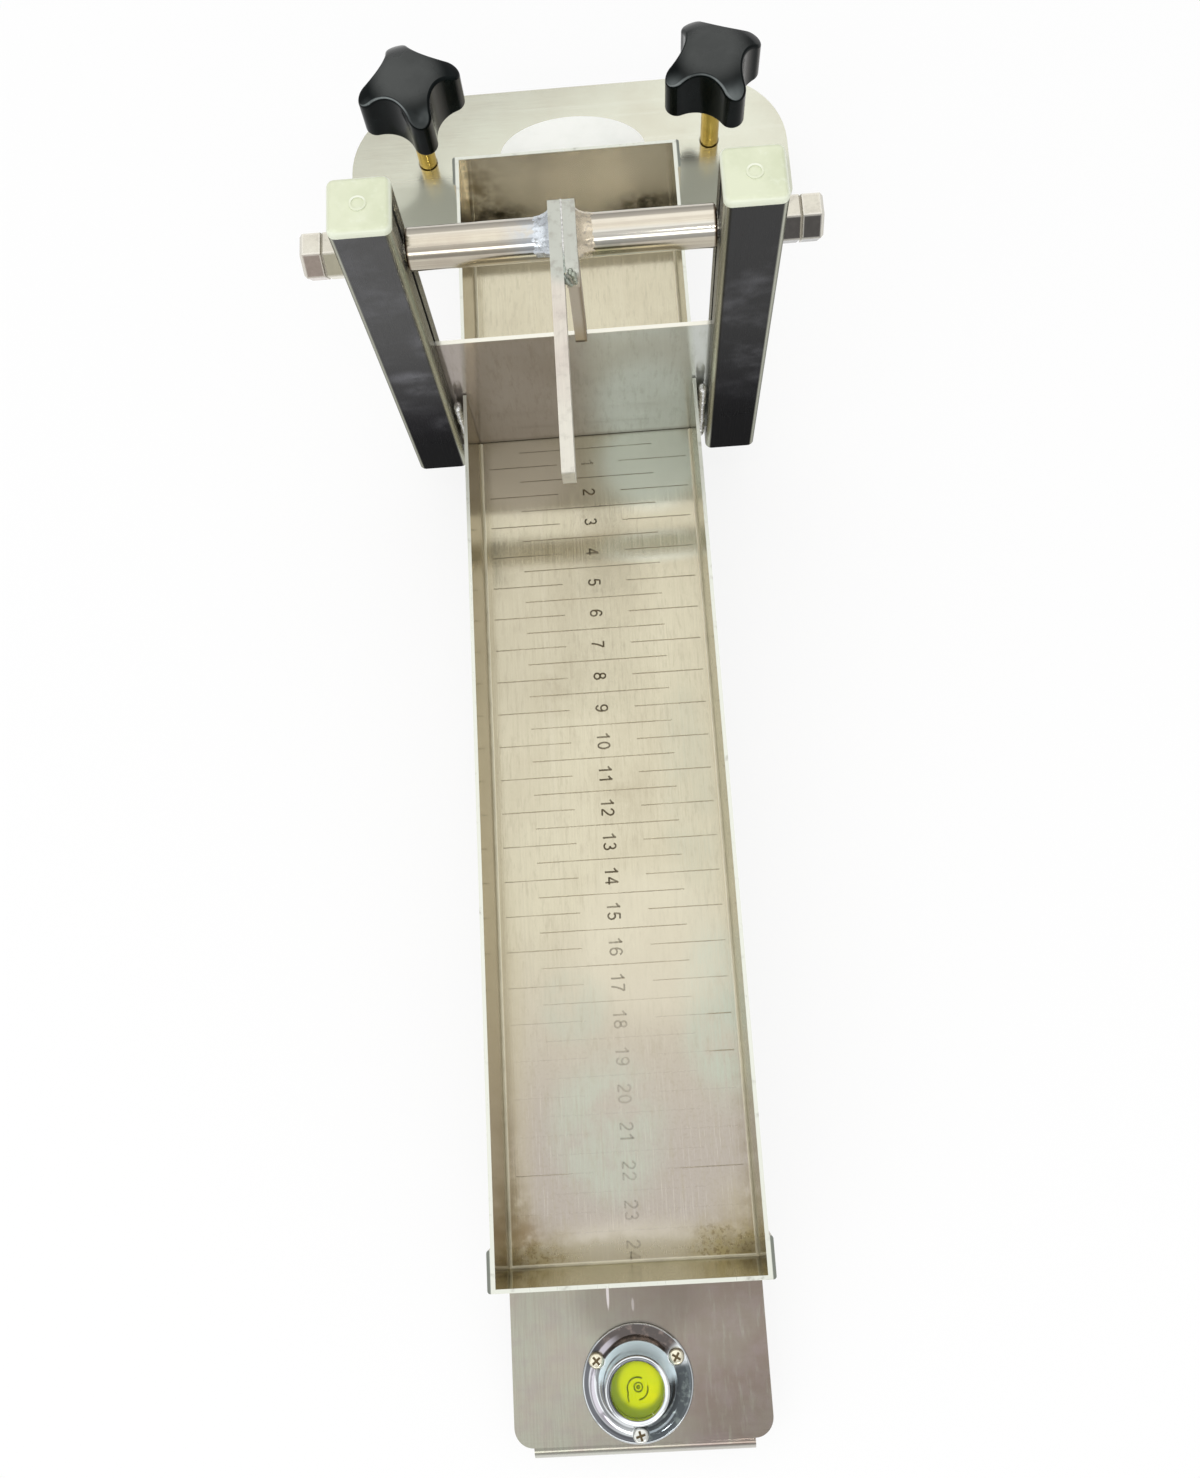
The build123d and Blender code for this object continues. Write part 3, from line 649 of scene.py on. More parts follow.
def makeKnobPlastic(look):
    coat = Coat("knobPlastic", look, 0.0, **{"Specular IOR Level": 0.09})
    here = coat.here
    outX, outY, outZ = axes(coat.outward)
    coat.base(110.0, 0.42, 0.75, "plain", "worn")
    # painted light: the crown is lighter grey where it faces up, and holds a little dust
    paintedLight = times(fade(outZ, 0.85, 0.97), fade(noise(here, 60.0, 4.0), 0.3, 0.65, 0.75, 1.0))
    coat.lay(paintedLight, "crown")
    # painted reflection on the flanks towards the right and a painted highlight along the edge in front
    gleam = times(fade(outX, 0.55, 0.9), fade(outY, 0.1, -0.3), fade(outZ, 0.3, 0.1), 0.5)
    coat.lay(gleam, "gleam")
    lip = times(fade(outZ, 0.45, 0.65), fade(outZ, 0.9, 0.75), fade(outY, -0.15, -0.45), fade(outX, 0.45, 0.15))
    coat.lay(times(lip, fade(noise(here, 70.0), 0.35, 0.6, 0.1, 0.5)), "edge")
    coat.fleck(1500.0, 0.68, 0.76, 0.2, "dust")
    coat.rough = add(uneven(here, 160.0, 0.08, 0.2, 5.0), by(paintedLight, look["crownRough"]))
    coat.bump(noise(here, 1800.0), 0.04, skinHeight)
    return coat.done()


brassLook = {
    "plain": seen(222, 192, 104), "dull": seen(206, 174, 88), "groove": seen(160, 128, 58),
    "pitch": 1.0 * mm, "threadHeight": 0.4 * mm,
}


def makeStudBrass(look):
    coat = Coat("studBrass", look, 1.0)
    x, y, z = axes(coat.here)
    coat.base(150.0, 0.35, 0.68, "plain", "dull")
    # thread below the plate: a ramp up the axis that wraps once each turn
    aside = less(x, by(calc("SIGN", x), studX))
    angle = calc("DIVIDE", calc("ARCTAN2", less(y, studY), aside), 2 * math.pi)
    climb = add(calc("DIVIDE", z, look["pitch"]), angle)
    threaded = fade(z, plateTop + 4 * mm, plateTop + 1 * mm)
    tooth = by(calc("PINGPONG", climb, 0.5), threaded)
    coat.lay(times(fade(tooth, 0.2, 0.02, 0.0, 0.4), threaded), "groove")
    coat.rough = uneven(coat.here, 500.0, 0.14, 0.24)
    coat.bump(tooth, 0.25, look["threadHeight"])
    return coat.done()


chromeLook = {
    "plain": seen(222, 226, 228), "dull": seen(206, 211, 214), "streak": seen(176, 180, 186),
    "band": seen(234, 236, 238), "brownReflection": seen(66, 58, 54), "rustAndReflection": seen(106, 93, 87),
    "slateReflection": seen(64, 72, 76), "slateReflectionMark": seen(112, 122, 120), "collarReflection": seen(228, 248, 255),
    "lilac": seen(172, 168, 176), "line": seen(64, 66, 72),
    # radius, half width, tone, depth, side
    "rings": ((13.35, 0.85, "line", 0.9, "leftFront"), (11.9, 0.9, "lilac", 0.9, "left"),
              (10.6, 0.5, "line", 0.35, "left"), (8.75, 0.22, "line", 0.7, "left"),
              (7.6, 0.2, "line", 0.85, "leftRear")),
    "stretch": (300.0, 300.0, 300.0), "patchSize": 150.0, "metallic": 1.0, "collarMetallic": 0.05,
    "streakDepth": 0.15, "bandLift": 0.2, "roughness": (0.05, 0.1), "bump": 0.015,
}


def makeLevelChrome(look):
    coat = brushedSheet("levelChrome", look)
    here = coat.here
    x, y, z = axes(here)
    across = less(x, levelX)
    back = less(y, levelY)
    reach = span(across, back)
    height = less(z, plateTop)
    toRear = calc("DIVIDE", back, reach)
    toRight = calc("DIVIDE", across, reach)
    fromRight = less(toRear, toRight)
    # painted reflections in the hollow of the bell: brown at the rear, slate at the right and front
    inBell = times(fade(reach, 8.5 * mm, 9.2 * mm), fade(reach, 14.15 * mm, 13.9 * mm))
    lowBell = times(inBell, fade(reach, 10.2 * mm, 10.5 * mm))
    rear = fade(add(toRear, by(toRight, -0.15)), 0.42, 0.6)
    brownReflection = blendColour(cloud(here, 420.0, 0.5, 0.68), look["brownReflection"], look["rustAndReflection"])
    coat.lay(times(rear, lowBell, 0.95), brownReflection)
    wobble = by(uneven(here, 260.0, -0.25, 0.25), 0.3)
    corner = fade(add(add(by(toRight, 0.8), by(toRear, -0.6)), wobble), 0.45, 0.7)
    slateReflection = blendColour(cloud(here, 620.0, 0.5, 0.68), look["slateReflection"], look["slateReflectionMark"])
    coat.lay(times(corner, inBell, 0.92), slateReflection)
    # painted pale reflection on the collar under the bezel, almost without metal
    collarReflection = times(fade(reach, 10.35 * mm, 10.15 * mm), fade(height, 2.0 * mm, 2.6 * mm),
                   fade(height, 9.0 * mm, 8.6 * mm), fade(toRear, -0.1, 0.3))
    coat.lay(collarReflection, "collarReflection")
    coat.lessMetal(collarReflection, look["collarMetallic"])
    # painted reflection rings round the bell: thin dark lines and a lilac band; the last, inside the bezel, is
    # painted shade of the rim
    sides = {
        "left": fade(toRight, -0.3, -0.7), "leftRear": fade(fromRight, -0.3, 0.4),
        "leftFront": fade(add(by(toRight, 0.85), by(toRear, 0.4)), -0.15, -0.5),
    }
    for radius, width, tone, depth, side in look["rings"]:
        near = fade(unsigned(less(reach, radius * mm)), width * mm, width * 0.5 * mm)
        coat.lay(times(near, sides[side], depth), tone)
    inner = times(fade(reach, 7.5 * mm, 7.3 * mm), fade(height, 6.5 * mm, 7.5 * mm))
    coat.lay(times(inner, fade(fromRight, -0.5, 0.2), 0.85), "line")
    return coat.done()


screwLook = {
    "plain": seen(224, 220, 200), "dull": seen(206, 200, 178), "streak": seen(150, 142, 122),
    "band": seen(236, 234, 222), "silver": seen(206, 208, 206), "slot": seen(92, 80, 58),
    "stretch": (1500.0, 1500.0, 1500.0), "patchSize": 300.0, "metallic": 0.9,
    "streakDepth": 0.25, "bandLift": 0.3, "roughness": (0.14, 0.26), "bump": 0.06,
}


def makeScrewNickel(look):
    coat = brushedSheet("screwNickel", look)
    y, z = axes(coat.here)[1:]
    coat.lay(fade(y, levelY - 5 * mm, levelY - 8 * mm, 0.0, 0.85), "silver")
    # darker in the bottoms of the cross slots
    low = fade(z, screwTop - 0.25 * mm, screwTop - 0.38 * mm)
    coat.lay(times(low, fade(axes(coat.outward)["Z"], 0.9, 0.99)), "slot")
    return coat.done()


liquidLook = {"bright": seen(204, 212, 4), "sun": seen(224, 223, 2), "deep": seen(126, 146, 34), "glow": 0.22}


def makeLevelLiquid(look):
    coat = Coat("levelLiquid", look, 0.0, **{"Specular IOR Level": 0.1, "Emission Strength": look["glow"]})
    x, y = axes(coat.here)[:2]
    # painted light: brighter yellow towards the right
    sunny = times(fade(x, levelX, levelX + 5 * mm), cloud(coat.here, 200.0, 0.3, 0.6))
    coat.colour = blendColour(sunny, look["bright"], look["sun"])
    # painted shade: deeper green round the left and front of the vial
    reach = span(less(x, levelX + 0.5 * mm), less(y, levelY + 0.8 * mm))
    coat.lay(fade(reach, 4.5 * mm, 6.2 * mm, 0.0, 0.9), "deep")
    # painted light: the fluid glows faintly in its own colour
    feed(coat.shader.inputs["Emission Color"], coat.colour)
    coat.rough = uneven(coat.here, 300.0, 0.1, 0.2)
    return coat.done()


glassLook = {"clear": seen(252, 254, 248), "rub": seen(240, 244, 234)}


def makeLevelGlass(look):
    coat = Coat("levelGlass", look, 0.0, **{"Transmission Weight": 1.0, "IOR": 1.2})
    coat.base(240.0, 0.45, 0.75, "clear", "rub")
    coat.rough = fade(noise(coat.here, 400.0), 0.4, 0.75, 0.0, 0.04)
    return coat.done()


# steps: distance from the gate and how much of the mark is left; kept: patches that wore less
lineInkLook = {
    "dark": seen(136, 122, 96), "rub": seen(158, 146, 120),
    "steps": ((0, 0.36), (26, 0.58), (60, 0.53), (110, 0.46), (150, 0.4), (192, 0.03), (245, 0.02)),
    "kept": ((31, 185, 13, 12, 0.55), (26, 220, 19, 5, 0.33), (-27, 220, 18, 5, 0.27)),
}
numberInkLook = {
    "dark": seen(92, 80, 58), "rub": seen(120, 108, 86),
    "steps": ((0, 0.2), (12, 0.3), (20, 0.97), (60, 0.89), (100, 0.83), (142, 0.79), (160, 0.37), (192, 0.16),
              (212, 0.2), (232, 0.2), (245, 0.12)),
    "kept": (),
}


def makeScaleInk(name, look):      # etched marks, worn away towards the near end and patchy all along
    coat = Coat(name, look, 0.74)
    here = coat.here
    run = less(gateY, axes(here)["Y"])
    left = look["steps"][0][1]
    for (begin, depth), (end, after) in zip(look["steps"], look["steps"][1:]):
        left = add(left, fade(run, begin * mm, end * mm, 0.0, after - depth))
    patchy = cloud(here, 95.0, 0.42, 0.66)
    left = by(left, fade(patchy, 0.0, 1.0, 1.0, 0.7))
    for *place, depth in look["kept"]:
        left = most(left, fade(floorSpot(here, *place, 9), 0.1, 0.5, 0.0, depth))
    feed(coat.shader.inputs["Alpha"], left)
    coat.colour = blendColour(patchy, look["dark"], look["rub"])
    coat.rough = uneven(here, 900.0, 0.12, 0.24)
    return coat.done()


paperLook = {"plain": seen(251, 252, 247), "grey": seen(243, 245, 239)}


def makeLabelPaper(look):
    coat = Coat("labelPaper", look, 0.0)
    coat.base(70.0, 0.4, 0.7, "plain", "grey")
    coat.rough = uneven(coat.here, 500.0, 0.3, 0.42)
    coat.bump(noise(coat.here, 1400.0, 4.0), 0.05, skinHeight)
    return coat.done()


ringLook = {"plain": seen(84, 104, 12), "pale": seen(146, 164, 14)}


def makeRingInk(look):
    coat = Coat("ringInk", look, 0.0, **{"Specular IOR Level": 0.1})
    coat.base(900.0, 0.4, 0.65, "plain", "pale")
    coat.rough = uneven(coat.here, 900.0, 0.3, 0.45)
    return coat.done()


traySteel = makeTraySteel(traySteelLook)
baseSteel = makeBaseSteel(baseSteelLook)
gateSteel = makeGateSteel(gateSteelLook)
postSteel = makePostSteel(postSteelLook)
rodSteel = makeRodSteel(rodSteelLook)
leverSteel = makeLeverSteel(leverSteelLook)
weldSteel = makeWeldSteel(weldSteelLook)
fastenerSteel = makeFastenerSteel(fastenerLook)
springSteel = brushedSheet("springSteel", springLook).done()
capPlastic = makeCapPlastic(capLook)
plugPlastic = makePlugPlastic(plugLook)
knobPlastic = makeKnobPlastic(knobLook)
studBrass = makeStudBrass(brassLook)
levelChrome = makeLevelChrome(chromeLook)
screwNickel = makeScrewNickel(screwLook)
levelLiquid = makeLevelLiquid(liquidLook)
levelGlass = makeLevelGlass(glassLook)
lineInk = makeScaleInk("lineInk", lineInkLook)
numberInk = makeScaleInk("numberInk", numberInkLook)
labelPaper = makeLabelPaper(paperLook)
ringInk = makeRingInk(ringLook)
print("finishes made")

# finishes on the solids of the frame
nodeFinish = {
    "base_plate": baseSteel, "tray": traySteel, "gate": gateSteel, "trigger_rod": rodSteel,
    "trigger_handle": leverSteel, "latch_finger": leverSteel, "level_housing": levelChrome,
    "level_liquid": levelLiquid, "level_glass": levelGlass, "level_screws": screwNickel,
}
pairFinish = {
    "post": postSteel, "post_welds": weldSteel, "post_cap": capPlastic, "post_foot_plug": plugPlastic,
    "gate_spring": springSteel, "lock_nut": fastenerSteel, "pivot_bolt": fastenerSteel,
    "levelling_stud": studBrass, "weld_nut": fastenerSteel, "knob": knobPlastic,
}
for side in sideNames:
    for part, finish in pairFinish.items():
        nodeFinish[side + "_" + part] = finish
for name, finish in nodeFinish.items():
    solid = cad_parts[name]
    if len(solid.material_slots) == 0:
        solid.data.materials.append(finish)
    for holder in solid.material_slots:
        holder.material = finish
print("solids dressed:", len(nodeFinish))


# helpers for meshes
weldDistance = 1e-7                # points nearer than this are one point


def addPiece(name, mesh):
    piece = bpy.data.objects.new(name, mesh)
    scene.collection.objects.link(piece)
    return piece


def settle(piece, body):
    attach(piece, body)


def smooth(mesh, angle):
    for face in mesh.polygons:
        face.use_smooth = True
    mesh.set_sharp_from_angle(angle=math.radians(angle))


def toMesh(name, shape):
    mesh = bpy.data.meshes.new(name)
    shape.to_mesh(mesh)
    shape.free()
    return mesh


def skinRings(shape, rings):       # walls between rings of points, closed at both ends
    count = len(rings[0])
    for lower, upper in zip(rings, rings[1:]):
        for step in range(count):
            after = (step + 1) % count
            shape.faces.new((lower[step], lower[after], upper[after], upper[step]))
    shape.faces.new(rings[0])
    shape.faces.new(rings[-1])
    bmesh.ops.recalc_face_normals(shape, faces=shape.faces)


def lathe(name, profile, centre, steps=48):
    shape = bmesh.new()
    points = [shape.verts.new((radius, 0.0, height)) for radius, height in profile]
    edges = [shape.edges.new(pair) for pair in zip(points, points[1:])]
    bmesh.ops.spin(shape, geom=points + edges, cent=(0, 0, 0), axis=(0, 0, 1), angle=2 * math.pi, steps=steps)
    bmesh.ops.remove_doubles(shape, verts=shape.verts, dist=weldDistance)
    bmesh.ops.dissolve_degenerate(shape, edges=shape.edges, dist=weldDistance)
    bmesh.ops.recalc_face_normals(shape, faces=shape.faces)
    bmesh.ops.translate(shape, verts=shape.verts, vec=centre)
    mesh = toMesh(name, shape)
    smooth(mesh, 35)
    return mesh


def pathMesh(name, runs):          # open or closed lines of points, one after another
    points = []
    edges = []
    for run in runs:
        closed = run[0] == run[-1]
        kept = run[:-1] if closed else run
        start = len(points)
        edges += [(start + step, start + step + 1) for step in range(len(kept) - 1)]
        if closed:
            edges.append((start + len(kept) - 1, start))
        points += kept
    mesh = bpy.data.meshes.new(name)
    mesh.from_pydata(points, edges, [])
    return mesh


def bow(x, y, wide, high, begin, end):     # points of an arc, in degrees
    steps = max(4, round(abs(end - begin) / 12))
    points = []
    for step in range(steps + 1):
        angle = math.radians(begin + (end - begin) * step / steps)
        points.append((x + wide * math.cos(angle), y + high * math.sin(angle)))
    if abs(end - begin) == 360:
        points[-1] = points[0]
    return points


# helpers for geometry trees
def newTree(name, **inputs):
    tree = bpy.data.node_groups.new(name, "GeometryNodeTree")
    tree.interface.new_socket("Geometry", in_out="INPUT", socket_type="NodeSocketGeometry")
    for label, kind in inputs.items():
        tree.interface.new_socket(label, in_out="INPUT", socket_type="NodeSocket" + kind)
    tree.interface.new_socket("Geometry", in_out="OUTPUT", socket_type="NodeSocketGeometry")
    return tree, put(tree, "NodeGroupInput").outputs, put(tree, "NodeGroupOutput").inputs


def endTree(tree, out, grown, finish, soft=False):
    done = put(tree, "GeometryNodeRealizeInstances", {0: grown.outputs[0]}).outputs[0]
    if soft:
        done = put(tree, "GeometryNodeSetShadeSmooth", {"Geometry": done}).outputs[0]
    done = put(tree, "GeometryNodeSetMaterial", {"Geometry": done, "Material": finish}).outputs[0]
    feed(out["Geometry"], done)
    return tree


def randomBetween(tree, low, high, seed):
    vary = put(tree, "FunctionNodeRandomValue", {"Seed": seed}, data_type="FLOAT")
    feed(vary.inputs[2], low)
    feed(vary.inputs[3], high)
    return vary.outputs[1]


def socketId(tree, label):
    for item in tree.interface.items_tree:
        if item.item_type == "SOCKET" and item.in_out == "INPUT" and item.name == label:
            return item.identifier


def growPiece(name, tree, values, seed=None):
    holder = addPiece(name + "Seed", seed or bpy.data.meshes.new(name + "Seed"))
    builder = holder.modifiers.new("grow", "NODES")
    builder.node_group = tree
    for label, value in values.items():
        builder[socketId(tree, label)] = value
    holder.update_tag()
    grown = holder.evaluated_get(bpy.context.evaluated_depsgraph_get())
    mesh = bpy.data.meshes.new_from_object(grown)
    holder.modifiers.remove(builder)
    bpy.data.objects.remove(holder)
    mesh.name = name
    return addPiece(name, mesh)


# scale lines: thin etched bars repeated down the trough
def makeRulingTree():
    tree, given, out = newTree(
        "rulingTree", Count="Int", First="Vector", Pitch="Float", Length="Float", Breadth="Float", Depth="Float",
        Ink="Material")
    step = put(tree, "ShaderNodeCombineXYZ", {"Y": by(given["Pitch"], -1.0)})
    row = put(tree, "GeometryNodeMeshLine", {
        "Count": given["Count"], "Start Location": given["First"], "Offset": step.outputs[0]}, mode="OFFSET")
    size = put(tree, "ShaderNodeCombineXYZ", {"X": given["Length"], "Y": given["Breadth"], "Z": given["Depth"]})
    bar = put(tree, "GeometryNodeMeshCube", {"Size": size.outputs[0]})
    many = put(tree, "GeometryNodeInstanceOnPoints", {"Points": row.outputs[0], "Instance": bar.outputs[0]})
    return endTree(tree, out, many, given["Ink"])


# flat strokes of even width along drawn lines
def makeStrokeTree():
    tree, given, out = newTree("strokeTree", Breadth="Float", Depth="Float", Ink="Material")
    path = put(tree, "GeometryNodeMeshToCurve", {"Mesh": given["Geometry"]})
    upright = put(tree, "GeometryNodeSetCurveNormal", {"Curve": path.outputs[0]}, mode="Z_UP")
    nib = put(tree, "GeometryNodeCurvePrimitiveQuadrilateral", {
        "Width": given["Breadth"], "Height": given["Depth"]}, mode="RECTANGLE")
    ribbon = put(tree, "GeometryNodeCurveToMesh", {
        "Curve": upright.outputs[0], "Profile Curve": nib.outputs[0], "Fill Caps": True})
    return endTree(tree, out, ribbon, given["Ink"])


scaleMarks = {
    "lift": 0.02 * mm, "depth": 0.05 * mm, "breadth": 0.29 * mm, "lines": 24, "pitch": 10 * mm,
    # ends across the trough and distance of the first line from the gate
    "rows": {
        "scaleLinesLeft": (-30.6 * mm, -9.4 * mm, 10 * mm), "scaleLinesRight": (10.0 * mm, 31.0 * mm, 10 * mm),
        "scaleHalfLines": (-21.0 * mm, 20.6 * mm, 5 * mm),
    },
    "numberHeight": 3.85 * mm, "numberAdvance": 2.85 * mm, "numberX": 0.2 * mm, "numberStroke": 0.5 * mm,
    "figureWidth": 0.61, "stagger": 0.004 * mm,
}
rulingTree = makeRulingTree()
strokeTree = makeStrokeTree()
marksZ = floorZ + scaleMarks["lift"]
for name, (begin, end, first) in scaleMarks["rows"].items():
    rule = growPiece(name, rulingTree, {
        "Count": scaleMarks["lines"], "First": ((begin + end) / 2, gateY - first, marksZ),
        "Pitch": scaleMarks["pitch"], "Length": end - begin, "Breadth": scaleMarks["breadth"],
        "Depth": scaleMarks["depth"], "Ink": lineInk})
    settle(rule, "frame")

# strokes of each figure in a box one unit high
figureStrokes = {
    "0": [bow(0.305, 0.5, 0.235, 0.435, 0, 360)],
    "1": [[(0.38, 0.0), (0.38, 1.0)], [(0.38, 0.94), (0.29, 0.83), (0.2, 0.76), (0.1, 0.71)]],
    "2": [bow(0.3, 0.69, 0.225, 0.245, 172, -20) + [(0.44, 0.48), (0.28, 0.32), (0.13, 0.17), (0.08, 0.08)],
          [(0.05, 0.065), (0.55, 0.065)]],
    "3": [bow(0.29, 0.715, 0.195, 0.22, 160, -90), bow(0.295, 0.285, 0.235, 0.22, 90, -160)],
    "4": [[(0.42, 0.0), (0.42, 0.98)], [(0.41, 0.93), (0.06, 0.3)], [(0.02, 0.285), (0.57, 0.285)]],
    "5": [[(0.53, 0.935), (0.14, 0.935)], [(0.16, 0.96), (0.1, 0.5)], bow(0.3, 0.325, 0.235, 0.26, 142, -158)],
    "6": [bow(0.31, 0.315, 0.23, 0.25, 0, 360), bow(0.33, 0.5, 0.25, 0.435, 190, 35)],
    "7": [[(0.05, 0.935), (0.56, 0.935)], [(0.53, 0.9), (0.41, 0.7), (0.31, 0.45), (0.25, 0.22), (0.22, 0.0)]],
    "8": [bow(0.305, 0.725, 0.19, 0.21, 0, 360), bow(0.305, 0.285, 0.235, 0.22, 0, 360)],
    "9": [bow(0.3, 0.685, 0.23, 0.25, 0, 360), bow(0.28, 0.5, 0.25, 0.435, 10, -145)],
}


def numberRuns(number, look):
    figures = str(number)
    high = look["numberHeight"]
    length = (len(figures) - 1) * look["numberAdvance"] + look["figureWidth"] * high
    runs = []
    for place, figure in enumerate(figures):
        for order, stroke in enumerate(figureStrokes[figure]):
            run = []
            for x, y in stroke:
                ahead = place * look["numberAdvance"] + x * high - length / 2
                aside = (y - 0.5) * high
                run.append((look["numberX"] + aside, gateY - number * look["pitch"] - ahead,
                            marksZ + order * look["stagger"]))
            runs.append(run)
    return runs


allRuns = []
for number in range(1, scaleMarks["lines"] + 1):
    allRuns += numberRuns(number, scaleMarks)
numbers = growPiece("scaleNumbers", strokeTree, {
    "Breadth": scaleMarks["numberStroke"], "Depth": scaleMarks["depth"], "Ink": numberInk},
    pathMesh("numberPaths", allRuns))
settle(numbers, "frame")
print("scale engraved")

# blank oval sticker on the rear plate
ovalLabel = {
    "centre": (1.5 * mm, 184.5 * mm), "half": (24.5 * mm, 14 * mm), "thick": 0.18 * mm, "round": 0.06 * mm,
    "steps": 96,
}


def makeLabel(look):
    shape = bmesh.new()
    midX, midY = look["centre"]
    halfX, halfY = look["half"]
    rings = []
    for inset, height in ((0.0, 0.0), (0.0, look["thick"] - look["round"]), (look["round"], look["thick"])):
        ring = []
        for step in range(look["steps"]):
            angle = 2 * math.pi * step / look["steps"]
            ring.append(shape.verts.new((midX + (halfX - inset) * math.cos(angle),
                                         midY + (halfY - inset) * math.sin(angle), plateTop + height)))
        rings.append(ring)
    skinRings(shape, rings)
    mesh = toMesh("ovalLabel", shape)
    mesh.materials.append(labelPaper)
    return addPiece("ovalLabel", mesh)


settle(makeLabel(ovalLabel), "frame")
print("label laid")


# weld beads: overlapping lumps along a path
def makeBeadTree():
    tree, given, out = newTree(
        "beadTree", Spacing="Float", Size="Vector", Unevenness="Float", Seed="Int", Metal="Material")
    path = put(tree, "GeometryNodeMeshToCurve", {"Mesh": given["Geometry"]})
    even = put(tree, "GeometryNodeResampleCurve", {
        "Curve": path.outputs[0], "Length": given["Spacing"]}, mode="LENGTH")
    lump = put(tree, "GeometryNodeMeshIcoSphere", {"Radius": 1.0, "Subdivisions": 3})
    share = randomBetween(tree, less(1.0, given["Unevenness"]), 1.0, given["Seed"])
    scaled = put(tree, "ShaderNodeVectorMath", {0: given["Size"], "Scale": share}, operation="SCALE")
    many = put(tree, "GeometryNodeInstanceOnPoints", {
        "Points": even.outputs[0], "Instance": lump.outputs[0], "Scale": scaled.outputs[0]})
    return endTree(tree, out, many, given["Metal"], soft=True)


beadTree = makeBeadTree()


def runBead(name, look, runs, body):
    bead = growPiece(name, beadTree, {
        "Spacing": look["spacing"], "Size": look["size"], "Unevenness": look["uneven"],
        "Seed": look["seed"], "Metal": weldSteel}, pathMesh(name + "Path", runs))
    settle(bead, body)
    return bead


postWelds = {
    "size": (1.4 * mm, 1.9 * mm, 1.1 * mm), "spacing": 1.0 * mm, "uneven": 0.28, "seed": 4, "inset": 2.0 * mm,
}
for side in sideNames:
    weldLow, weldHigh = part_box(side + "_post_welds")
    midX = (weldLow.x + weldHigh.x) / 2
    low = weldLow.z + postWelds["size"][2]
    high = weldHigh.z - postWelds["size"][2]
    runs = []
    for weldY in (weldLow.y + postWelds["inset"], weldHigh.y - postWelds["inset"]):
        runs.append([(midX, weldY, low), (midX, weldY, (low + high) / 2), (midX, weldY, high)])
    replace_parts(runBead(side + "PostBeads", postWelds, runs, "frame"), side + "_post_welds")

# hand-run fillets between the bars and the rod
triggerFillets = {
    # distance along the rod from the bar and rise over the rod, in millimetres
    "profile": ((-0.6, 1.5), (0.15, 1.3), (0.7, 0.85), (1.4, 0.5), (2.3, 0.26), (3.3, 0.1), (4.3, -0.12),
                (4.3, -0.7), (-0.6, -0.7)),
    "steps": 56, "thinEnd": 0.25, "thickening": 5, "ripples": 11, "ripple": 0.04, "swell": 0.22,
    "swellRate": 7, "lump": 0.14 * mm, "lumpRate": (22, 1.4),
    "left": {"face": handleLow.x, "way": -1, "arc": (0, 172), "seed": 3.1},
    "right": {"face": fingerHigh.x, "way": 1, "arc": (-28, 165), "seed": 8.7},
}


def makeFillet(name, look, run):
    shape = bmesh.new()
    begin, end = run["arc"]
    lumpAround, lumpAcross = look["lumpRate"]
    rings = []
    for step in range(look["steps"] + 1):
        share = step / look["steps"]
        angle = math.radians(begin + (end - begin) * share)
        taper = min(1.0, look["thinEnd"] + look["thickening"] * share,
                    look["thinEnd"] + look["thickening"] * (1 - share))
        swell = 1 + look["swell"] * spaceNoise.noise((share * look["swellRate"], run["seed"], 0.3))
        swell += look["ripple"] * math.sin(2 * math.pi * look["ripples"] * share)
        ring = []
        for out, rise in look["profile"]:
            knoll = spaceNoise.noise((share * lumpAround, out * lumpAcross, run["seed"])) if out >= 0 else 0.0
            away = rodRadius + rise * mm * (swell * taper if rise > 0 else 1.0) + look["lump"] * knoll * taper
            aside = run["face"] + run["way"] * out * mm * (swell if out > 0 else 1.0)
            ring.append(shape.verts.new((aside, gateY - away * math.cos(angle), rodZ + away * math.sin(angle))))
        rings.append(ring)
    skinRings(shape, rings)
    mesh = toMesh(name, shape)
    mesh.materials.append(weldSteel)
    smooth(mesh, 60)
    settle(addPiece(name, mesh), "trigger")


for side in sideNames:
    makeFillet(side + "TriggerFillet", triggerFillets, triggerFillets[side])

# seam between the two bars and the lumps that close it in front, in millimetres from the top of the seam
seamWeld = {
    "size": (0.32 * mm, 0.8 * mm, 0.12 * mm), "spacing": 0.6 * mm, "uneven": 0.5, "seed": 21,
    "runs": (((0.0, -15.5, -0.06), (0.0, 3.0, -0.06)),),
}
noseWeld = {
    "size": (0.8 * mm, 0.8 * mm, 0.75 * mm), "spacing": 0.5 * mm, "uneven": 0.6, "seed": 34,
    "runs": (((-0.2, -16.2, -1.2), (0.6, -16.4, -3.6), (1.4, -15.2, -5.8)),
             ((1.9, -15.9, -1.2), (2.3, -15.9, -4.2), (1.6, -13.2, -7.2)),
             ((2.3, -10.5, -0.9), (1.7, -13.0, -0.8), (1.2, -15.6, -0.9))),
}
seamX = (handleHigh.x + fingerLow.x) / 2
for name, look in (("seamBead", seamWeld), ("noseBeads", noseWeld)):
    runs = [[(seamX + x * mm, gateY + y * mm, handleHigh.z + z * mm) for x, y, z in run] for run in look["runs"]]
    runBead(name, look, runs, "trigger")
print("welds run")

